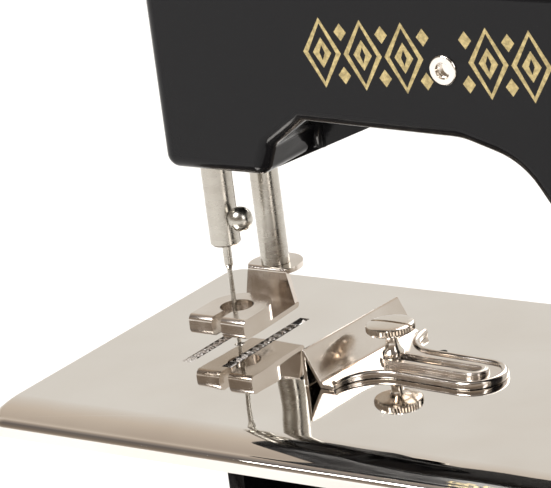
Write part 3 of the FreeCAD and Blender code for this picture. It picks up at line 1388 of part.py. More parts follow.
def build():
    """Every sub-part of the machine."""
    return [
        frame_casting(), rubber_feet(), bed_plate(), plate_screws(),
        needle_bar(), needle(), needle_stud(), take_up_eyelet(), needle_clamp_screw(),
        presser_bar(), presser_foot(), presser_cap(), presser_collar(), presser_spring(),
        lifter_lever(), lifter_pin(), walking_beam(), pivot_pin(), pivot_nut(),
        drive_wheel(), wheel_stud(), crank_bush(), crank_shaft(), pinion(), crank_disc(),
        crank_pin(), handle_knob(), handle_screw(), tension_post(), *tension_parts(),
        spool_pin(), thread_guide(), feed_dog(), feed_carrier(), looper_shaft(), looper(),
        looper_rocker(), looper_roller(), shaft_collars(), seam_guide(), guide_bush(),
        guide_thumbscrew(),
    ]


def finish(pieces):
    """Check every object and write one file per sub-part."""
    doc.recompute()
    for item in doc.Objects:
        if "Invalid" in item.State or "Error" in item.State:
            raise RuntimeError("%s did not rebuild" % item.Name)
    for piece in pieces:
        shape = piece.Shape
        if shape.isNull() or not shape.isValid():
            raise RuntimeError("%s has no sound shape" % piece.Label)
        shape.exportStep("parts/%s.step" % piece.Label)


finish(build())
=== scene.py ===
"""Looks of a hand-crank child's sewing machine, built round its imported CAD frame."""

import logging
import math
from dataclasses import dataclass, field
from enum import Enum
from typing import Callable

import bmesh
import bpy
from mathutils import Matrix, Vector


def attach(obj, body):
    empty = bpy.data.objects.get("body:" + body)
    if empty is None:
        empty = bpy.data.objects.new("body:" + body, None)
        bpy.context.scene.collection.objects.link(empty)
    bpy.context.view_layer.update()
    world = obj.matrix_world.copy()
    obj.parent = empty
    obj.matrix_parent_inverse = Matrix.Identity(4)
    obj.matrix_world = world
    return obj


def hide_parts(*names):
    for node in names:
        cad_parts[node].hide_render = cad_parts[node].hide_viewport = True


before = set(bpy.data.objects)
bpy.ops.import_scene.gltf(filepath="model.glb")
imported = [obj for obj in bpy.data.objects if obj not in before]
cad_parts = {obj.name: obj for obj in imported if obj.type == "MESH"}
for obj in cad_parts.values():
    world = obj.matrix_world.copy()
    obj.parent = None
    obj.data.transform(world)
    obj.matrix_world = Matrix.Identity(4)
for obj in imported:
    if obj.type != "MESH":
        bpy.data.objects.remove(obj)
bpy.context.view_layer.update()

log = logging.getLogger("machine")

MM = 0.001  # metres in a millimetre
NEAR = 0.001 * MM
NEEDLE = Vector((-61.0, 3.75, 54.0))  # where the needle's axis meets the bed's top, in mm

SAME_POINT = 0.002  # points closer than this are one, in mm
FLAT_ANGLE = 0.6  # faces that meet at less than this are one, in degrees
ROW_DIGITS = 6  # points whose place in metres is equal to this many decimals are in one row
END_CORNERS = 8  # only the end faces of a turned piece have more corners than this
EASED_FACETS = 2
EASED_ANGLE = 28

# sharpest angle in degrees that is still shaded smooth, by kind of piece
SMOOTH_SHEET = 32
SMOOTH_KNURL = 24
SMOOTH_NEEDLE = 30
SMOOTH_TURNED = 34
SMOOTH_ROUND = 40
SMOOTH_WIRE = 60


def row(x: float, y: float, z: float) -> Vector:
    """A place in the row, in metres.

    Args:
        x: millimetres from the needle's axis towards the pillar.
        y: millimetres from the needle's axis towards the back.
        z: millimetres over the bed's top face.

    Returns:
        The place in the row frame.
    """
    return (NEEDLE + Vector((x, y, z))) * MM


class Body(Enum):
    """The CAD bodies that pieces ride on."""

    MACHINE = "machine"
    NEEDLE_BAR = "needle_bar_group"
    CLAMP = "needle_clamp"
    PRESSER = "presser_group"
    LIFTER = "lifter"
    BEAM = "beam"
    CRANK = "crank"
    WHEEL = "wheel"
    HANDLE = "handle"
    TENSION = "tension_adjuster"
    FEED_SLIDE = "feed_slide"
    FEED_LIFTER = "feed_lifter"
    LOOPER = "looper_group"
    GUIDE_PIVOT = "guide_pivot"
    GUIDE = "guide"
    GUIDE_SCREW = "guide_screw"


class Slot(Enum):
    """The record's material slots."""

    JAPAN = "japan"
    NICKEL = "nickel"
    STEEL = "steel"
    SPRING = "spring_steel"
    BRONZE = "bronze"
    WOOD = "wood"
    RUBBER = "rubber"


# ---------------------------------------------------------------- finishes


def fill_ramp(ramp: bpy.types.ColorRamp, stops: list | tuple) -> None:
    """Set a new colour ramp's stops, from (position, colour) pairs in order."""
    for element, (position, colour) in zip(ramp.elements, (stops[0], stops[-1])):
        element.position, element.color = position, (*colour, 1)
    for position, colour in stops[1:-1]:
        ramp.elements.new(position).color = (*colour, 1)


class Nodes:
    """A new material's node tree, with short ways to add and join nodes."""

    def __init__(self, name: str) -> None:
        """Start a material that holds one Principled shader.

        Args:
            name: the material's name.
        """
        self.material = bpy.data.materials.new(name)
        self.material.use_nodes = True
        self.tree = self.material.node_tree
        self.shader = self.tree.nodes["Principled BSDF"]
        self.place = self.add("ShaderNodeTexCoord").outputs["Object"]

    def add(self, kind: str, **values: object) -> bpy.types.Node:
        """Add a node.

        Args:
            kind: the node's type.
            values: its properties.

        Returns:
            The node.
        """
        node = self.tree.nodes.new(kind)
        for name, value in values.items():
            setattr(node, name, value)
        return node

    def join(self, source: bpy.types.NodeSocket, target: bpy.types.NodeSocket) -> None:
        """Join two sockets."""
        self.tree.links.new(source, target)

    def set(self, **values: object) -> None:
        """Set uniform values on the shader, with _ for spaces in a socket's name."""
        for name, value in values.items():
            self.shader.inputs[name.replace("_", " ")].default_value = value

    def noise(self, scale: float, detail: float = 4, stretch: tuple = (1, 1, 1),
              roughness: float = 0.5) -> bpy.types.NodeSocket:
        """Noise on the piece's own coordinates.

        Args:
            scale: cells per metre.
            detail: octaves.
            stretch: how much each axis is scaled before the noise.
            roughness: weight of the fine octaves.

        Returns:
            The grey output.
        """
        mapping = self.add("ShaderNodeMapping")
        mapping.inputs["Scale"].default_value = stretch
        self.join(self.place, mapping.inputs["Vector"])
        node = self.add("ShaderNodeTexNoise")
        node.inputs["Scale"].default_value = scale
        node.inputs["Detail"].default_value = detail
        node.inputs["Roughness"].default_value = roughness
        self.join(mapping.outputs["Vector"], node.inputs["Vector"])
        return node.outputs["Fac"]

    def ramp(self, value: bpy.types.NodeSocket, stops: list) -> bpy.types.NodeSocket:
        """Map grey to colour.

        Args:
            value: the grey.
            stops: (position, colour) pairs, in order.

        Returns:
            The colour output.
        """
        node = self.add("ShaderNodeValToRGB")
        fill_ramp(node.color_ramp, stops)
        self.join(value, node.inputs["Fac"])
        return node.outputs["Color"]

    def span(self, value: bpy.types.NodeSocket, low: float, high: float,
             start: float = 0.3, end: float = 0.7) -> bpy.types.NodeSocket:
        """Map grey from one span of values to another."""
        node = self.add("ShaderNodeMapRange")
        for name, number in (("From Min", start), ("From Max", end), ("To Min", low),
                             ("To Max", high)):
            node.inputs[name].default_value = number
        self.join(value, node.inputs["Value"])
        return node.outputs["Result"]

    def bump(self, height: bpy.types.NodeSocket, depth: float,
             onto: bpy.types.NodeSocket | None = None) -> bpy.types.NodeSocket:
        """Turn a grey height into a bumped normal.

        Args:
            height: the grey.
            depth: metres that white stands over black.
            onto: a normal to add to.

        Returns:
            The normal.
        """
        node = self.add("ShaderNodeBump")
        node.inputs["Distance"].default_value = depth
        self.join(height, node.inputs["Height"])
        if onto is not None:
            self.join(onto, node.inputs["Normal"])
        return node.outputs["Normal"]


@dataclass(frozen=True)
class Metal:
    """A bare or plated metal with faint tarnish, fine scratches and a grain."""

    name: str
    colour: tuple = (0.80, 0.76, 0.71)
    tarnish: tuple = (0.70, 0.63, 0.54)
    gloss: float = 0.08
    dull: float = 0.2
    grain: tuple = (1, 1, 1)
    grain_scale: float = 900
    grain_depth: float = 0.000004

    def material(self) -> bpy.types.Material:
        """The finish as a material."""
        nodes = Nodes(self.name)
        nodes.set(Metallic=1.0)
        patches = nodes.noise(55, 5)
        nodes.join(nodes.ramp(patches, [(0.35, self.colour), (0.75, self.tarnish)]),
                   nodes.shader.inputs["Base Color"])
        smears = nodes.noise(240, 6, self.grain)
        nodes.join(nodes.span(smears, self.gloss, self.dull), nodes.shader.inputs["Roughness"])
        lines = nodes.noise(self.grain_scale, 3, self.grain)
        nodes.join(nodes.bump(lines, self.grain_depth), nodes.shader.inputs["Normal"])
        return nodes.material


@dataclass(frozen=True)
class Polish:
    """Mirror-bright nickel on a sheet, with a slight wave in it."""

    name: str = "polished_bed"
    colour: tuple = (0.82, 0.79, 0.75)
    tarnish: tuple = (0.77, 0.73, 0.685)
    wave: float = 0.00045

    def material(self) -> bpy.types.Material:
        """The finish as a material."""
        nodes = Nodes(self.name)
        nodes.set(Metallic=1.0)
        nodes.join(nodes.ramp(nodes.noise(38, 5), [(0.35, self.colour), (0.75, self.tarnish)]),
                   nodes.shader.inputs["Base Color"])
        nodes.join(nodes.span(nodes.noise(300, 6, (1, 0.12, 1)), 0.02, 0.06),
                   nodes.shader.inputs["Roughness"])
        fine = nodes.bump(nodes.noise(700, 3, (1, 0.12, 1)), 0.0000012)
        nodes.join(nodes.bump(nodes.noise(26, 2), self.wave, fine),
                   nodes.shader.inputs["Normal"])
        return nodes.material


@dataclass(frozen=True)
class Japan:
    """Stoved black enamel on a casting: deep gloss, orange peel and fine specks."""

    name: str = "black_japan"
    colour: tuple = (0.006, 0.006, 0.007)
    speck: tuple = (0.022, 0.021, 0.02)

    def material(self) -> bpy.types.Material:
        """The finish as a material."""
        nodes = Nodes(self.name)
        nodes.set(IOR=1.27)
        specks = nodes.noise(2600, 2, roughness=0.8)
        nodes.join(nodes.ramp(specks, [(0.66, self.colour), (0.74, self.speck)]),
                   nodes.shader.inputs["Base Color"])
        wear = nodes.noise(70, 6)
        nodes.join(nodes.span(wear, 0.08, 0.2), nodes.shader.inputs["Roughness"])
        cast = nodes.bump(nodes.noise(160, 3), 0.00005)
        nodes.join(nodes.bump(nodes.noise(1500, 2), 0.000006, cast),
                   nodes.shader.inputs["Normal"])
        return nodes.material


@dataclass(frozen=True)
class Gilt:
    """Gold transfer on the enamel, rubbed thin in places."""

    name: str = "gilt_transfer"
    colour: tuple = (0.62, 0.50, 0.24)
    worn: tuple = (0.33, 0.26, 0.12)

    def material(self) -> bpy.types.Material:
        """The finish as a material."""
        nodes = Nodes(self.name)
        nodes.set(Metallic=0.45, Roughness=0.42)
        nodes.join(nodes.ramp(nodes.noise(900, 6, roughness=0.7),
                              [(0.38, self.colour), (0.62, self.worn)]),
                   nodes.shader.inputs["Base Color"])
        nodes.join(nodes.bump(nodes.noise(2400, 2), 0.000008), nodes.shader.inputs["Normal"])
        return nodes.material


@dataclass(frozen=True)
class Varnished:
    """Turned hardwood under varnish, its grain along the handle."""

    name: str = "varnished_wood"
    pale: tuple = (0.20, 0.065, 0.022)
    dark: tuple = (0.055, 0.016, 0.007)

    def material(self) -> bpy.types.Material:
        """The finish as a material."""
        nodes = Nodes(self.name)
        nodes.set(Coat_Weight=0.7, Coat_Roughness=0.08)
        grain = nodes.noise(420, 8, (1, 0.08, 1), 0.65)
        nodes.join(nodes.ramp(grain, [(0.3, self.dark), (0.7, self.pale)]),
                   nodes.shader.inputs["Base Color"])
        nodes.join(nodes.span(grain, 0.28, 0.45), nodes.shader.inputs["Roughness"])
        nodes.join(nodes.bump(grain, 0.00003), nodes.shader.inputs["Normal"])
        return nodes.material


@dataclass(frozen=True)
class Rubber:
    """Moulded black rubber, dusty on its faces."""

    name: str = "black_rubber"

    def material(self) -> bpy.types.Material:
        """The finish as a material."""
        nodes = Nodes(self.name)
        nodes.join(nodes.ramp(nodes.noise(300, 5), [(0.3, (0.012, 0.012, 0.012)),
                                                    (0.8, (0.05, 0.048, 0.045))]),
                   nodes.shader.inputs["Base Color"])
        nodes.join(nodes.span(nodes.noise(500, 4), 0.55, 0.8), nodes.shader.inputs["Roughness"])
        nodes.join(nodes.bump(nodes.noise(3000, 2), 0.00003), nodes.shader.inputs["Normal"])
        return nodes.material


@dataclass(frozen=True)
class Table:
    """The pale matt floor."""

    name: str = "pale_floor"

    def material(self) -> bpy.types.Material:
        """The finish as a material."""
        nodes = Nodes(self.name)
        nodes.join(nodes.ramp(nodes.noise(12, 3), [(0.3, (0.86, 0.86, 0.85)),
                                                   (0.7, (0.89, 0.885, 0.88))]),
                   nodes.shader.inputs["Base Color"])
        nodes.set(Roughness=0.8)
        return nodes.material


class Finishes:
    """Every finish of the machine, made once."""

    def __init__(self) -> None:
        """Make the materials."""
        self.japan = Japan().material()
        self.gilt = Gilt().material()
        self.bed = Polish().material()
        self.nickel = Metal("nickel_plate", (0.80, 0.755, 0.70), (0.66, 0.59, 0.51), 0.07,
                            0.2).material()
        self.pressed = Metal("pressed_nickel", (0.78, 0.73, 0.68), (0.62, 0.55, 0.48), 0.09,
                             0.24, (1, 0.3, 1), 800, 0.000006).material()
        self.bar = Metal("ground_bar", (0.50, 0.48, 0.435), (0.40, 0.37, 0.325), 0.2, 0.34,
                         (1, 1, 3), 420, 0.0000015).material()
        self.steel = Metal("turned_steel", (0.60, 0.585, 0.57), (0.44, 0.40, 0.37), 0.2,
                           0.38).material()
        self.spring = Metal("spring_wire", (0.40, 0.40, 0.41), (0.28, 0.26, 0.25), 0.22,
                            0.36).material()
        self.bronze = Metal("bearing_bronze", (0.62, 0.42, 0.19), (0.36, 0.23, 0.11), 0.22,
                            0.4).material()
        self.wood = Varnished().material()
        self.rubber = Rubber().material()


# ---------------------------------------------------------------- bench tools


def clear_selection() -> None:
    """Deselect everything."""
    for item in bpy.context.selected_objects:
        item.select_set(False)


def take(item: bpy.types.Object) -> None:
    """Select one object alone and make it the active one."""
    clear_selection()
    item.select_set(True)
    bpy.context.view_layer.objects.active = item


def edit(item: bpy.types.Object) -> None:
    """Open an object's mesh in edit mode with all of it selected."""
    take(item)
    bpy.ops.object.mode_set(mode="EDIT")
    bpy.ops.mesh.select_all(action="SELECT")


def leave() -> None:
    """Leave edit mode."""
    bpy.ops.object.mode_set(mode="OBJECT")


def apply_modifier(item: bpy.types.Object, kind: str, **values: object) -> None:
    """Add a modifier and apply it at once.

    Args:
        item: the piece.
        kind: the modifier's type.
        values: its settings.
    """
    take(item)
    modifier = item.modifiers.new(kind.lower(), kind)
    for name, value in values.items():
        setattr(modifier, name, value)
    bpy.ops.object.modifier_apply(modifier=modifier.name)


def smooth(item: bpy.types.Object, degrees: float = SMOOTH_SHEET) -> None:
    """Shade a piece smooth, but for edges sharper than an angle, with flat faces kept flat."""
    take(item)
    bpy.ops.object.shade_smooth_by_angle(angle=math.radians(degrees))
    apply_modifier(item, "WEIGHTED_NORMAL", weight=50, keep_sharp=True)


def settle(item: bpy.types.Object) -> None:
    """Put a piece's place into its mesh."""
    take(item)
    bpy.ops.object.transform_apply(location=True, rotation=True, scale=True)


def dress(item: bpy.types.Object, material: bpy.types.Material) -> None:
    """Give a piece one material."""
    item.data.materials.clear()
    item.data.materials.append(material)


def fit(item: bpy.types.Object, body: Body, material: bpy.types.Material,
        nodes: tuple = ()) -> None:
    """Dress a finished piece and hang it on its body.

    Args:
        item: the piece.
        body: the body it rides on.
        material: its finish.
        nodes: the CAD nodes it stands for.
    """
    dress(item, material)
    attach(item, body.value)
    if nodes:
        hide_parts(*nodes)
    log.info("%s: %d faces", item.name, len(item.data.polygons))


def merged_copy(node: str, name: str) -> bpy.types.Object:
    """A copy of a CAD node, left open in edit mode with its doubled points merged."""
    item = bpy.data.objects.new(name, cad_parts[node].data.copy())
    bpy.context.scene.collection.objects.link(item)
    edit(item)
    bpy.ops.mesh.remove_doubles(threshold=SAME_POINT * MM)
    return item


def clear_flats() -> None:
    """Take the lines across flat faces out of the mesh that is open in edit mode."""
    bpy.ops.mesh.select_all(action="SELECT")
    bpy.ops.mesh.dissolve_limited(angle_limit=math.radians(FLAT_ANGLE))


def ease_edges(item: bpy.types.Object, width: float, segments: int, angle: float,
               **values: object) -> None:
    """Ease a piece's edges that are sharper than an angle.

    Args:
        item: the piece.
        width: width of the eased edge, in millimetres.
        segments: facets across the edge.
        angle: the angle, in degrees.
        values: further settings of the bevel.
    """
    apply_modifier(item, "BEVEL", width=width * MM, segments=segments, limit_method="ANGLE",
                   angle_limit=math.radians(angle), use_clamp_overlap=True, **values)


def eased_copy(node: str, width: float) -> bpy.types.Object:
    """A smooth copy of a CAD node, its sharp edges eased unless the width is 0 mm."""
    item = merged_copy(node, node + "_eased")
    leave()
    if width:
        edit(item)
        clear_flats()
        leave()
        ease_edges(item, width, EASED_FACETS, EASED_ANGLE, miter_outer="MITER_ARC")
    smooth(item)
    return item


def cut_out(item: bpy.types.Object, tool: bpy.types.Object) -> None:
    """Cut a tool's shape out of a piece and throw the tool away."""
    apply_modifier(item, "BOOLEAN", operation="DIFFERENCE", object=tool, solver="EXACT")
    bpy.data.objects.remove(tool)


def select_where(item: bpy.types.Object, kind: str, test: Callable) -> None:
    """Select an object's vertices, edges or faces by their place, in edit mode.

    Args:
        item: the object, in edit mode.
        kind: "verts", "edges" or "faces".
        test: tells of one element whether it is wanted.
    """
    mode = {"verts": "VERT", "edges": "EDGE", "faces": "FACE"}[kind]
    bpy.ops.mesh.select_mode(type=mode)
    bpy.ops.mesh.select_all(action="DESELECT")
    mesh = bmesh.from_edit_mesh(item.data)
    for part in [part for part in getattr(mesh, kind) if test(part)]:
        part.select_set(True)
    mesh.select_flush(True)
    bmesh.update_edit_mesh(item.data)


def turned(name: str, profile: list, sides: int = 64) -> bpy.types.Object:
    """Turn a piece on the lathe: a disc, drawn up station by station along Z.

    Args:
        name: the piece's name.
        profile: (height, radius) stations in millimetres, from one end face to the other.
        sides: facets round it.

    Returns:
        The piece, standing on the origin, its axis on Z.
    """
    clear_selection()
    low, first = profile[0]
    bpy.ops.mesh.primitive_circle_add(vertices=sides, radius=first * MM, fill_type="NGON",
                                      location=(0, 0, low * MM))
    item = bpy.context.object
    item.name = name
    settle(item)
    edit(item)
    height, radius = low, first
    for next_height, next_radius in profile[1:]:
        bpy.ops.mesh.extrude_region_move(
            TRANSFORM_OT_translate={"value": (0, 0, (next_height - height) * MM)})
        share = next_radius / radius
        bpy.ops.transform.resize(value=(share, share, 1),
                                 center_override=(0, 0, next_height * MM))
        height, radius = next_height, next_radius
    bpy.ops.mesh.select_all(action="SELECT")
    bpy.ops.mesh.normals_make_consistent(inside=False)
    leave()
    return item


def knurl(item: bpy.types.Object, teeth: int, low: float, high: float, share: float) -> None:
    """Press grooves into a turned piece's rim, at every second line of its points.

    Args:
        item: the piece, on the origin, with two sides for each tooth.
        teeth: how many grooves.
        low: the grooves lie over this height, in millimetres.
        high: and under this one.
        share: the radius in a groove over the rim's.
    """
    pitch = math.pi / teeth
    edit(item)
    select_where(item, "verts", lambda vert: low < vert.co.z / MM < high
                 and round(math.atan2(vert.co.y, vert.co.x) / pitch) % 2 == 0)
    bpy.ops.transform.resize(value=(share, share, 1), center_override=(0, 0, 0))
    leave()


def place(item: bpy.types.Object, where: Vector, axis: Vector = Vector((0, 0, 1))) -> None:
    """Stand a turned piece at a place, its Z along an axis, and put that into its mesh."""
    turn = Vector((0, 0, 1)).rotation_difference(axis).to_matrix().to_4x4()
    item.matrix_world = Matrix.Translation(where) @ turn
    settle(item)


def wire(name: str, points: list, radius: float, closed: bool = False,
         sides: int = 4) -> bpy.types.Object:
    """A round rod bent along points, made a mesh.

    Args:
        name: the piece's name.
        points: places in the row frame, in metres.
        radius: the rod's radius, in millimetres.
        closed: whether it is a ring.
        sides: facets in a quarter of its section.

    Returns:
        The piece.
    """
    curve = bpy.data.curves.new(name, "CURVE")
    curve.dimensions = "3D"
    curve.bevel_depth = radius * MM
    curve.bevel_resolution = sides
    curve.use_fill_caps = not closed
    spline = curve.splines.new("POLY")
    spline.points.add(len(points) - 1)
    for knot, point in zip(spline.points, points):
        knot.co = (*point, 1)
    spline.use_cyclic_u = closed
    item = bpy.data.objects.new(name, curve)
    bpy.context.scene.collection.objects.link(item)
    take(item)
    bpy.ops.object.convert(target="MESH")
    return bpy.context.object


def arc(centre: Vector, first: Vector, second: Vector, start: float, end: float,
        steps: int) -> list:
    """Points on an arc.

    Args:
        centre: its middle.
        first: the radius vector at 0 degrees.
        second: the radius vector at 90 degrees.
        start: first angle, in degrees.
        end: last angle, in degrees.
        steps: how many chords.

    Returns:
        The points, both ends among them.
    """
    angles = [math.radians(start + (end - start) * n / steps) for n in range(steps + 1)]
    return [centre + first * math.cos(a) + second * math.sin(a) for a in angles]


def join(name: str, pieces: list) -> bpy.types.Object:
    """Join several pieces into one."""
    clear_selection()
    for piece in pieces:
        piece.select_set(True)
    bpy.context.view_layer.objects.active = pieces[0]
    bpy.ops.object.join()
    pieces[0].name = name
    return pieces[0]


@dataclass
class Kept:
    """A CAD node that is shown with eased edges and a better finish."""

    node: str
    body: Body
    slot: Slot
    finish: str
    ease: float = 0.15


def show(kept: Kept, finishes: Finishes) -> None:
    """Show a CAD node through its eased copy."""
    item = eased_copy(kept.node, kept.ease)
    fit(item, kept.body, getattr(finishes, kept.finish), (kept.node,))


# ---------------------------------------------------------------- kept pieces

KEPT = [
    Kept("frame_casting", Body.MACHINE, Slot.JAPAN, "japan", 0.0),
    Kept("rubber_feet", Body.MACHINE, Slot.RUBBER, "rubber", 0.4),
    Kept("plate_screws", Body.MACHINE, Slot.STEEL, "nickel", 0.12),
    Kept("pivot_pin", Body.MACHINE, Slot.NICKEL, "nickel", 0.2),
    Kept("pivot_nut", Body.MACHINE, Slot.STEEL, "steel", 0.2),
    Kept("crank_bush", Body.MACHINE, Slot.BRONZE, "bronze", 0.2),
    Kept("wheel_stud", Body.MACHINE, Slot.STEEL, "steel", 0.2),
    Kept("tension_post", Body.MACHINE, Slot.NICKEL, "nickel", 0.15),
    Kept("tension_disc_lower", Body.MACHINE, Slot.NICKEL, "nickel", 0.12),
    Kept("tension_disc_upper", Body.MACHINE, Slot.NICKEL, "nickel", 0.12),
    Kept("tension_spring", Body.MACHINE, Slot.SPRING, "spring", 0.0),
    Kept("lifter_pin", Body.MACHINE, Slot.STEEL, "steel", 0.15),
    Kept("presser_spring", Body.MACHINE, Slot.SPRING, "spring", 0.0),
    Kept("needle_bar", Body.NEEDLE_BAR, Slot.NICKEL, "bar", 0.2),
    Kept("needle_stud", Body.NEEDLE_BAR, Slot.STEEL, "steel", 0.15),
    Kept("presser_bar", Body.PRESSER, Slot.NICKEL, "bar", 0.2),
    Kept("presser_collar", Body.PRESSER, Slot.STEEL, "steel", 0.25),
    Kept("lifter_lever", Body.LIFTER, Slot.NICKEL, "nickel", 0.3),
    Kept("walking_beam", Body.BEAM, Slot.STEEL, "steel", 0.3),
    Kept("crank_shaft", Body.CRANK, Slot.STEEL, "steel", 0.2),
    Kept("pinion", Body.CRANK, Slot.STEEL, "steel", 0.0),
    Kept("crank_disc", Body.CRANK, Slot.STEEL, "steel", 0.25),
    Kept("crank_pin", Body.CRANK, Slot.STEEL, "steel", 0.15),
    Kept("drive_wheel", Body.WHEEL, Slot.NICKEL, "nickel", 0.0),
    Kept("handle_screw", Body.WHEEL, Slot.STEEL, "nickel", 0.15),
    Kept("feed_carrier", Body.FEED_SLIDE, Slot.STEEL, "steel", 0.25),
    Kept("feed_dog", Body.FEED_LIFTER, Slot.STEEL, "steel", 0.0),
    Kept("looper_shaft", Body.LOOPER, Slot.STEEL, "steel", 0.2),
    Kept("looper", Body.LOOPER, Slot.STEEL, "bar", 0.0),
    Kept("looper_rocker", Body.LOOPER, Slot.STEEL, "steel", 0.25),
    Kept("looper_roller", Body.LOOPER, Slot.STEEL, "steel", 0.25),
    Kept("shaft_collars", Body.LOOPER, Slot.STEEL, "steel", 0.25),
    Kept("guide_bush", Body.GUIDE_PIVOT, Slot.STEEL, "steel", 0.1),
]


# ---------------------------------------------------------------- sub-assemblies


@dataclass
class BedPlate:
    """The bed plate, its sheet bent gently down towards the front edge."""

    front: float = -48.5
    reach: float = 10.6
    roll: float = 1.8
    strips: int = 16
    drop: float = 1.5
    lip_keeps: float = -3.5

    def build(self, finishes: Finishes) -> None:
        """Cut the sheet into strips along the front and lower each row of points.

        The lip's lower edge stays where it is.
        """
        item = eased_copy("bed_plate", 0)
        start = row(0, self.front + self.reach, 0).y
        end = row(0, self.front + self.roll, 0).y
        low = row(0, 0, self.lip_keeps).z
        edit(item)
        for n in range(self.strips):
            bpy.ops.mesh.select_all(action="SELECT")
            cut = start + (end - start) * n / self.strips
            bpy.ops.mesh.bisect(plane_co=(0, cut, 0), plane_no=(0, 1, 0))
        leave()
        rows = sorted({round(vert.co.y, ROW_DIGITS) for vert in item.data.vertices
                       if vert.co.y < start - NEAR})
        edit(item)
        for place_y in rows:
            select_where(item, "verts", lambda vert: vert.co.z > low
                         and round(vert.co.y, ROW_DIGITS) == place_y)
            share = min((start - place_y) / (start - end), 1)
            bpy.ops.transform.translate(value=(0, 0, -self.drop * MM * share ** 2))
        leave()
        smooth(item)
        fit(item, Body.MACHINE, finishes.bed, ("bed_plate",))


@dataclass
class Thumbscrew:
    """The knurled and slotted thumbscrew of the seam guide."""

    x: float = 39.1
    y: float = 0.1
    profile: tuple = ((-7, 0.7), (-6.7, 1.0), (2.12, 1.0), (2.12, 2.15), (2.3, 2.3), (2.9, 2.3),
                      (3.15, 2.12), (3.6, 1.78), (4.2, 1.5), (4.9, 1.33), (5.6, 1.3), (6.3, 1.36),
                      (6.75, 1.6), (7.0, 2.1), (7.2, 3.2), (7.34, 4.5), (7.5, 4.85), (7.75, 5.1),
                      (8.75, 5.1), (8.98, 4.85), (9.12, 4.4), (9.2, 3.4), (9.28, 1.6), (9.3, 0.5))
    knurl_low: float = 7.6
    knurl_high: float = 8.9
    knurl_depth: float = 0.28
    teeth: int = 46
    slot_half: float = 0.42
    slot_floor: float = 8.75
    saw_length: float = 12
    saw_depth: float = 2

    def build(self, finishes: Finishes) -> None:
        """Turn it, press the knurl and saw the slot."""
        item = turned("seam_guide_thumbscrew", list(self.profile), self.teeth * 2)
        rim = max(radius for _, radius in self.profile)
        knurl(item, self.teeth, self.knurl_low, self.knurl_high, 1 - self.knurl_depth / rim)
        clear_selection()
        bpy.ops.mesh.primitive_cube_add(
            size=1, location=(0, 0, (self.slot_floor + self.saw_depth / 2) * MM),
            scale=(self.saw_length * MM, 2 * self.slot_half * MM, self.saw_depth * MM))
        saw = bpy.context.object
        settle(saw)
        cut_out(item, saw)
        place(item, row(self.x, self.y, 0))
        smooth(item, SMOOTH_KNURL)
        fit(item, Body.GUIDE_SCREW, finishes.nickel, ("guide_thumbscrew",))


@dataclass
class GuideTrim:
    """The seam guide: its sheet, the raised bead round its tab and the lip of its slot."""

    x: float = 39.1
    y: float = 0.1
    turn: float = -4
    sheet_top: float = 1.0
    half: float = 6.05
    end: float = 20.3
    flat: float = -3.6
    flare: float = 9.25
    bead: float = 0.75
    bead_sunk: float = 0.12
    lip: float = 2.15
    lip_r: float = 0.85
    lip_top: float = 2.05
    ridge_z: float = 8.7
    ridge_near: float = 0.05
    ridge_least: float = 20
    ridge_ease: float = 1.3
    ridge_facets: int = 6
    ease: float = 0.28
    ease_facets: int = 3
    ease_angle: float = 40
    end_steps: int = 24

    def local(self, u: float, v: float, z: float) -> Vector:
        """A place on the guide, from its screw along the tab."""
        c, s = math.cos(math.radians(self.turn)), math.sin(math.radians(self.turn))
        return row(self.x + u * c - v * s, self.y + u * s + v * c, z)

    def flat_arc(self, u: float, v: float, radius: float, start: float, end: float, z: float,
                 steps: int = 14) -> list:
        """Points on an arc in the tab's plane."""
        angles = [math.radians(start + (end - start) * n / steps) for n in range(steps + 1)]
        return [self.local(u + radius * math.cos(a), v + radius * math.sin(a), z)
                for a in angles]

    def sheet(self, finishes: Finishes) -> None:
        """The pressed sheet, its ridge drawn to a round."""
        item = merged_copy("seam_guide", "seam_guide_sheet")
        clear_flats()
        top, middle = row(0, self.y, self.ridge_z).z, row(0, self.y, 0).y

        def on_ridge(vert: bmesh.types.BMVert) -> bool:
            return abs(vert.co.z - top) < self.ridge_near * MM

        for end in (-1, 1):
            select_where(item, "verts",
                         lambda vert: on_ridge(vert) and (vert.co.y - middle) * end > 0)
            bpy.ops.mesh.merge(type="CENTER")
        select_where(item, "edges", lambda edge: all(on_ridge(vert) for vert in edge.verts)
                     and edge.calc_length() > self.ridge_least * MM)
        bpy.ops.mesh.bevel(offset=self.ridge_ease * MM, segments=self.ridge_facets,
                           affect="EDGES")
        leave()
        ease_edges(item, self.ease, self.ease_facets, self.ease_angle)
        smooth(item, SMOOTH_ROUND)
        fit(item, Body.GUIDE, finishes.pressed, ("seam_guide",))

    def build(self, finishes: Finishes) -> None:
        """Press the sheet and bend the bead and the lip."""
        self.sheet(finishes)
        z = self.sheet_top - self.bead_sunk
        corner = self.flat + self.flare
        reach = self.half + self.flare
        outline = self.flat_arc(corner, -reach, self.flare, 180, 90, z)
        outline += self.flat_arc(self.end, 0, self.half, -90, 90, z, self.end_steps)
        outline += self.flat_arc(corner, reach, self.flare, -90, -180, z)
        z = self.lip_top - self.lip_r
        slot = self.flat_arc(0, 0, self.lip, 90, 270, z)
        slot += self.flat_arc(self.end, 0, self.lip, -90, 90, z)
        for trim in (wire("seam_guide_bead", outline, self.bead),
                     wire("seam_guide_slot_lip", slot, self.lip_r, True)):
            smooth(trim, SMOOTH_WIRE)
            fit(trim, Body.GUIDE, finishes.pressed)


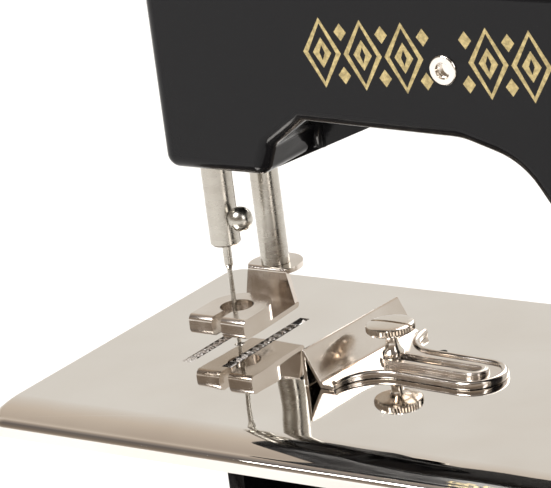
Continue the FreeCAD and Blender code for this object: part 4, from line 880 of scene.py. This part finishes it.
@dataclass
class PresserFoot:
    """The presser foot, its toes and its bend drawn round."""

    front: float = -6.2
    toe_ease: float = 1.15
    toe_facets: int = 5
    level: float = 0.02
    least: float = 2
    ease: float = 0.34
    ease_facets: int = 3
    ease_angle: float = 34

    def build(self, finishes: Finishes) -> None:
        """Round the toes' level edges, then every sharp edge that is left."""
        item = merged_copy("presser_foot", "presser_foot_pressed")
        clear_flats()
        limit = row(0, self.front, 0).y

        def on_toe(edge: bmesh.types.BMEdge) -> bool:
            first, second = edge.verts
            return (max(first.co.y, second.co.y) < limit
                    and abs(first.co.z - second.co.z) < self.level * MM
                    and edge.calc_length() > self.least * MM)

        select_where(item, "edges", on_toe)
        bpy.ops.mesh.bevel(offset=self.toe_ease * MM, segments=self.toe_facets,
                           affect="EDGES", clamp_overlap=True)
        leave()
        ease_edges(item, self.ease, self.ease_facets, self.ease_angle)
        smooth(item, SMOOTH_ROUND)
        fit(item, Body.PRESSER, finishes.pressed, ("presser_foot",))


@dataclass
class NeedleEnd:
    """The needle, its clamp's ball screw and the cap of the needle bar."""

    needle_profile: tuple = ((-1, 0.05), (-0.4, 0.22), (0.6, 0.38), (2, 0.5), (16.8, 0.5),
                             (17.4, 0.62), (17.9, 0.84), (18.2, 0.9), (32.6, 0.9), (33.1, 0.7))
    clamp_turn: float = -15
    clamp_height: float = 29.0
    ball_profile: tuple = ((1, 0.9), (1.2, 1.2), (3.3, 1.2), (3.6, 1.32), (4.1, 1.75),
                           (4.44, 2.08), (4.8, 2.31), (5.4, 2.53), (6, 2.6), (6.6, 2.53),
                           (7.15, 2.33), (7.7, 1.96), (8.1, 1.53), (8.4, 1.0), (8.55, 0.5),
                           (8.6, 0.12))
    cap_profile: tuple = ((95, 3.9), (95.2, 4.2), (96.7, 4.2), (97, 4.0), (97.2, 3.5),
                          (97.3, 1.0))
    loop_foot: float = 97.2
    loop_radius: float = 2.6
    loop_wire: float = 0.55
    loop_end: float = 350
    loop_steps: int = 40
    eye_height: float = 3.2
    eye_r: float = 0.22
    drill_length: float = 2

    def build(self, finishes: Finishes) -> None:
        """Turn the needle, the ball screw and the cap, drill the eye and bend the ring."""
        needle = turned("needle_blade", list(self.needle_profile), 32)
        clear_selection()
        bpy.ops.mesh.primitive_cylinder_add(
            vertices=16, radius=self.eye_r * MM, depth=self.drill_length * MM,
            location=(0, 0, self.eye_height * MM), rotation=(0, math.pi / 2, 0))
        drill = bpy.context.object
        settle(drill)
        cut_out(needle, drill)
        place(needle, row(0, 0, 0))
        smooth(needle, SMOOTH_NEEDLE)
        fit(needle, Body.NEEDLE_BAR, finishes.bar, ("needle",))
        ball = turned("needle_clamp_ball", list(self.ball_profile))
        angle = math.radians(self.clamp_turn)
        place(ball, row(0, 0, self.clamp_height), Vector((math.cos(angle), math.sin(angle), 0)))
        smooth(ball, SMOOTH_ROUND)
        fit(ball, Body.CLAMP, finishes.bar, ("needle_clamp_screw",))
        cap = turned("needle_bar_cap", list(self.cap_profile))
        place(cap, row(0, 0, 0))
        across = Vector((self.loop_radius * MM, 0, 0))
        upwards = Vector((0, 0, self.loop_radius * MM))
        loop = arc(row(0, 0, self.loop_foot + self.loop_radius), across, upwards, 0,
                   self.loop_end, self.loop_steps)
        ring = wire("take_up_ring", loop[:-1], self.loop_wire, True, 6)
        eyelet = join("take_up_cap", [cap, ring])
        smooth(eyelet, SMOOTH_TURNED)
        fit(eyelet, Body.NEEDLE_BAR, finishes.nickel, ("take_up_eyelet",))


@dataclass
class TurnedTrim:
    """The small turned pieces on top of the arm, and the crank handle."""

    handle: tuple = ((0, 2.2), (0, 3.1), (0.35, 3.7), (1.2, 4.25), (2.6, 4.55), (4.6, 4.6),
                     (7.1, 4.52), (10, 4.2), (13, 3.75), (16, 3.42), (18.4, 3.38), (19.8, 3.55),
                     (20.4, 3.95), (20.9, 4.4), (21.6, 4.6), (22.9, 4.6), (23.4, 4.4),
                     (23.8, 3.9), (23.8, 2.2))
    cap: tuple = ((90, 3.3), (90, 3.6), (90.3, 4.0), (92.2, 4.0), (93, 3.75), (93.6, 3.1),
                  (93.9, 2.0), (94, 0.5))
    nut: tuple = ((0, 1.6), (0, 3.6), (0.3, 4.0), (2.4, 4.0), (2.8, 3.8), (3.4, 3.0),
                  (4.1, 2.75), (4.5, 2.4), (4.5, 1.6))
    spool: tuple = ((81, 1.9), (84, 1.9), (84, 5.7), (84.3, 6.0), (84.9, 6.0), (85.4, 5.2),
                    (86, 3.2), (86.6, 2.2), (87.4, 1.9), (112, 1.9), (113, 1.72),
                    (113.6, 1.2), (113.9, 0.6), (114, 0.15))
    handle_at: tuple = (141, -45, 35.15)
    cap_at: tuple = (0, 16, 0)
    nut_at: tuple = (34, 6, 93.7)
    nut_teeth: int = 26
    nut_knurl: tuple = (0.2, 2.6, 0.93)
    spool_at: tuple = (96, 7, 0)
    eye_at: tuple = (10, 6, 90)
    eye_radius: float = 2.4
    eye_wire: float = 0.7
    eye_end: float = 348
    eye_steps: int = 40
    eye_stem: tuple = (80.2, 88)

    def bored(self, item: bpy.types.Object) -> None:
        """Bridge a turned tube's two end rings through its bore."""
        edit(item)
        select_where(item, "faces", lambda face: len(face.verts) > END_CORNERS)
        bpy.ops.mesh.bridge_edge_loops()
        bpy.ops.mesh.select_all(action="SELECT")
        bpy.ops.mesh.normals_make_consistent(inside=False)
        leave()

    def build(self, finishes: Finishes) -> None:
        """Turn each piece."""
        grip = turned("crank_grip", list(self.handle), 72)
        self.bored(grip)
        place(grip, row(*self.handle_at), Vector((0, 1, 0)))
        smooth(grip, SMOOTH_ROUND)
        fit(grip, Body.HANDLE, finishes.wood, ("handle_knob",))
        cap = turned("presser_bar_cap", list(self.cap), 56)
        place(cap, row(*self.cap_at))
        smooth(cap, SMOOTH_TURNED)
        fit(cap, Body.PRESSER, finishes.nickel, ("presser_cap",))
        nut = turned("tension_thumb_nut", list(self.nut), self.nut_teeth * 2)
        self.bored(nut)
        knurl(nut, self.nut_teeth, *self.nut_knurl)
        place(nut, row(*self.nut_at))
        smooth(nut, SMOOTH_KNURL)
        fit(nut, Body.TENSION, finishes.nickel, ("tension_nut",))
        spool = turned("spool_post", list(self.spool), 48)
        place(spool, row(*self.spool_at))
        smooth(spool, SMOOTH_TURNED)
        fit(spool, Body.MACHINE, finishes.nickel, ("spool_pin",))
        x, y, foot = self.eye_at
        eye = arc(row(x, y, foot + self.eye_radius), Vector((0, 0, -self.eye_radius * MM)),
                  Vector((self.eye_radius * MM, 0, 0)), 0, self.eye_end, self.eye_steps)
        stem = [row(x, y, z) for z in self.eye_stem]
        guide = wire("thread_eye", stem + eye, self.eye_wire, False, 6)
        smooth(guide, SMOOTH_WIRE)
        fit(guide, Body.MACHINE, finishes.nickel, ("thread_guide",))


@dataclass
class GoldLines:
    """A plain gold line ornament on the arm's face: a row of lozenges, large and small."""

    face: float = -8.02
    flatness: float = 0.07
    bold: float = 0.95
    sizes: tuple = ((1, 0.62), (0.36, 0.8))
    small: float = 0.13
    small_rise: float = 4.4
    first: float = 36.5
    step: float = 9.6
    count: int = 6
    middle: float = 68.6
    half: tuple = (3.9, 6.6)
    pin: float = 64.5
    pin_gap: float = 4.4

    def stroke(self, points: list, radius: float) -> bpy.types.Object:
        """One closed gold line, pressed nearly flat on the arm's face."""
        item = wire("gold_line", [row(x, self.face, z) for x, z in points], radius, True, 2)
        edit(item)
        bpy.ops.transform.resize(value=(1, self.flatness, 1),
                                 center_override=row(0, self.face, 0))
        leave()
        return item

    def lozenge(self, x: float, share: float, rise: float = 0) -> list:
        """The corners of a lozenge, a share of the full size, raised from the middle."""
        across, up, z = self.half[0] * share, self.half[1] * share, self.middle + rise
        return [(x - across, z), (x, z + up), (x + across, z), (x, z - up)]

    def build(self, finishes: Finishes) -> None:
        """Draw the lozenges and the small ones between them."""
        strokes = []
        for n in range(self.count):
            x = self.first + self.step * n
            if abs(x - self.pin) > self.pin_gap:
                strokes += [self.stroke(self.lozenge(x, share), self.bold * weight)
                            for share, weight in self.sizes]
            if n:
                between = x - self.step / 2
                strokes += [self.stroke(self.lozenge(between, self.small, rise), self.bold)
                            for rise in (-self.small_rise, self.small_rise)]
        gold = join("gold_ornament", strokes)
        smooth(gold, SMOOTH_WIRE)
        fit(gold, Body.MACHINE, finishes.gilt)


# ---------------------------------------------------------------- studio


@dataclass
class Camera:
    """A long lens in front of the bed's right, a little over its top."""

    place: tuple = (0.35466, -0.52361, 0.30159)
    yaw: float = 37.375
    pitch: float = 18.651
    roll: float = -7.51
    lens: float = 222.14
    sensor: float = 36.0
    clip: tuple = (0.02, 50)

    def build(self) -> None:
        """Add the camera and make it the scene's."""
        yaw, pitch, roll = (math.radians(v) for v in (self.yaw, self.pitch, self.roll))
        ahead = Vector((-math.sin(yaw) * math.cos(pitch), math.cos(yaw) * math.cos(pitch),
                        -math.sin(pitch)))
        level = ahead.cross(Vector((0, 0, 1))).normalized()
        above = level.cross(ahead)
        right = level * math.cos(roll) + above * math.sin(roll)
        up = above * math.cos(roll) - level * math.sin(roll)
        data = bpy.data.cameras.new("camera")
        data.lens, data.sensor_width = self.lens, self.sensor
        data.clip_start, data.clip_end = self.clip
        item = bpy.data.objects.new("camera", data)
        bpy.context.scene.collection.objects.link(item)
        item.matrix_world = Matrix.Translation(self.place) @ Matrix(
            (right, up, -ahead)).transposed().to_4x4()
        bpy.context.scene.camera = item


@dataclass(frozen=True)
class Softbox:
    """A square light that faces the machine."""

    name: str
    place: tuple
    side: float
    watts: float
    colour: tuple = (1, 1, 1)
    target: tuple = (-0.03, 0, 0.08)

    def build(self) -> None:
        """Add the light."""
        data = bpy.data.lights.new(self.name, "AREA")
        data.shape, data.size = "SQUARE", self.side
        data.energy, data.color = self.watts, self.colour
        item = bpy.data.objects.new(self.name, data)
        bpy.context.scene.collection.objects.link(item)
        item.location = self.place
        item.rotation_euler = (Vector(self.target) - Vector(self.place)).to_track_quat(
            "-Z", "Y").to_euler()


@dataclass
class Studio:
    """A pale floor, a bright room and soft lights."""

    floor_side: float = 14.0
    far_sky: tuple = ((0.02, (0.80, 0.775, 0.735)), (0.36, (0.80, 0.77, 0.72)),
                      (0.6, (0.66, 0.57, 0.48)), (0.8, (0.44, 0.37, 0.31)),
                      (1.0, (0.42, 0.40, 0.38)))
    near_sky: tuple = ((0.0, (0.95, 0.94, 0.92)), (0.08, (0.42, 0.35, 0.28)),
                       (0.4, (0.22, 0.18, 0.145)), (0.75, (0.16, 0.14, 0.13)),
                       (1.0, (0.42, 0.40, 0.38)))
    sky_strength: float = 1.0
    sky_blend: tuple = (-0.25, 0.35)  # near sky below the first, far sky above the second
    lights: list = field(default_factory=lambda: [
        Softbox("key", (-0.5, -0.9, 1.3), 0.8, 26),
        Softbox("fill", (1.3, -0.3, 0.8), 0.9, 9),
        Softbox("back", (-0.2, 1.4, 1.0), 1.0, 14),
    ])

    def sky(self) -> None:
        """A pale warm room on the far side and a dim one on the near side."""
        world = bpy.data.worlds.new("room")
        world.use_nodes = True
        bpy.context.scene.world = world
        tree = world.node_tree
        background = tree.nodes["Background"]
        place = tree.nodes.new("ShaderNodeTexCoord")
        split = tree.nodes.new("ShaderNodeSeparateXYZ")
        tree.links.new(place.outputs["Generated"], split.inputs[0])
        side = tree.nodes.new("ShaderNodeMapRange")
        for name, number in zip(("From Min", "From Max"), self.sky_blend):
            side.inputs[name].default_value = number
        tree.links.new(split.outputs["Y"], side.inputs["Value"])
        blend = tree.nodes.new("ShaderNodeMix")
        blend.data_type = "RGBA"
        tree.links.new(side.outputs["Result"], blend.inputs["Factor"])
        for stops, socket in ((self.near_sky, "A"), (self.far_sky, "B")):
            node = tree.nodes.new("ShaderNodeValToRGB")
            fill_ramp(node.color_ramp, stops)
            tree.links.new(split.outputs["Z"], node.inputs["Fac"])
            colour_in = [s for s in blend.inputs if s.name == socket and s.type == "RGBA"][0]
            tree.links.new(node.outputs["Color"], colour_in)
        colour_out = [s for s in blend.outputs if s.type == "RGBA"][0]
        tree.links.new(colour_out, background.inputs["Color"])
        background.inputs["Strength"].default_value = self.sky_strength

    def build(self) -> None:
        """Add the floor, the sky and the lights."""
        clear_selection()
        bpy.ops.mesh.primitive_grid_add(x_subdivisions=8, y_subdivisions=8,
                                        size=self.floor_side, location=(0, 0, 0))
        floor = bpy.context.object
        floor.name = "floor"
        settle(floor)
        dress(floor, Table().material())
        bpy.context.scene.view_settings.view_transform = "Standard"
        self.sky()
        for light in self.lights:
            light.build()


# ---------------------------------------------------------------- assembly


def main() -> None:
    """Build every sub-assembly, then the studio."""
    logging.basicConfig(level=logging.INFO, format="%(name)s: %(message)s")
    finishes = Finishes()
    for kept in KEPT:
        show(kept, finishes)
    BedPlate().build(finishes)
    Thumbscrew().build(finishes)
    GuideTrim().build(finishes)
    PresserFoot().build(finishes)
    NeedleEnd().build(finishes)
    TurnedTrim().build(finishes)
    GoldLines().build(finishes)
    Studio().build()
    Camera().build()


if __name__ == "__main__":
    main()
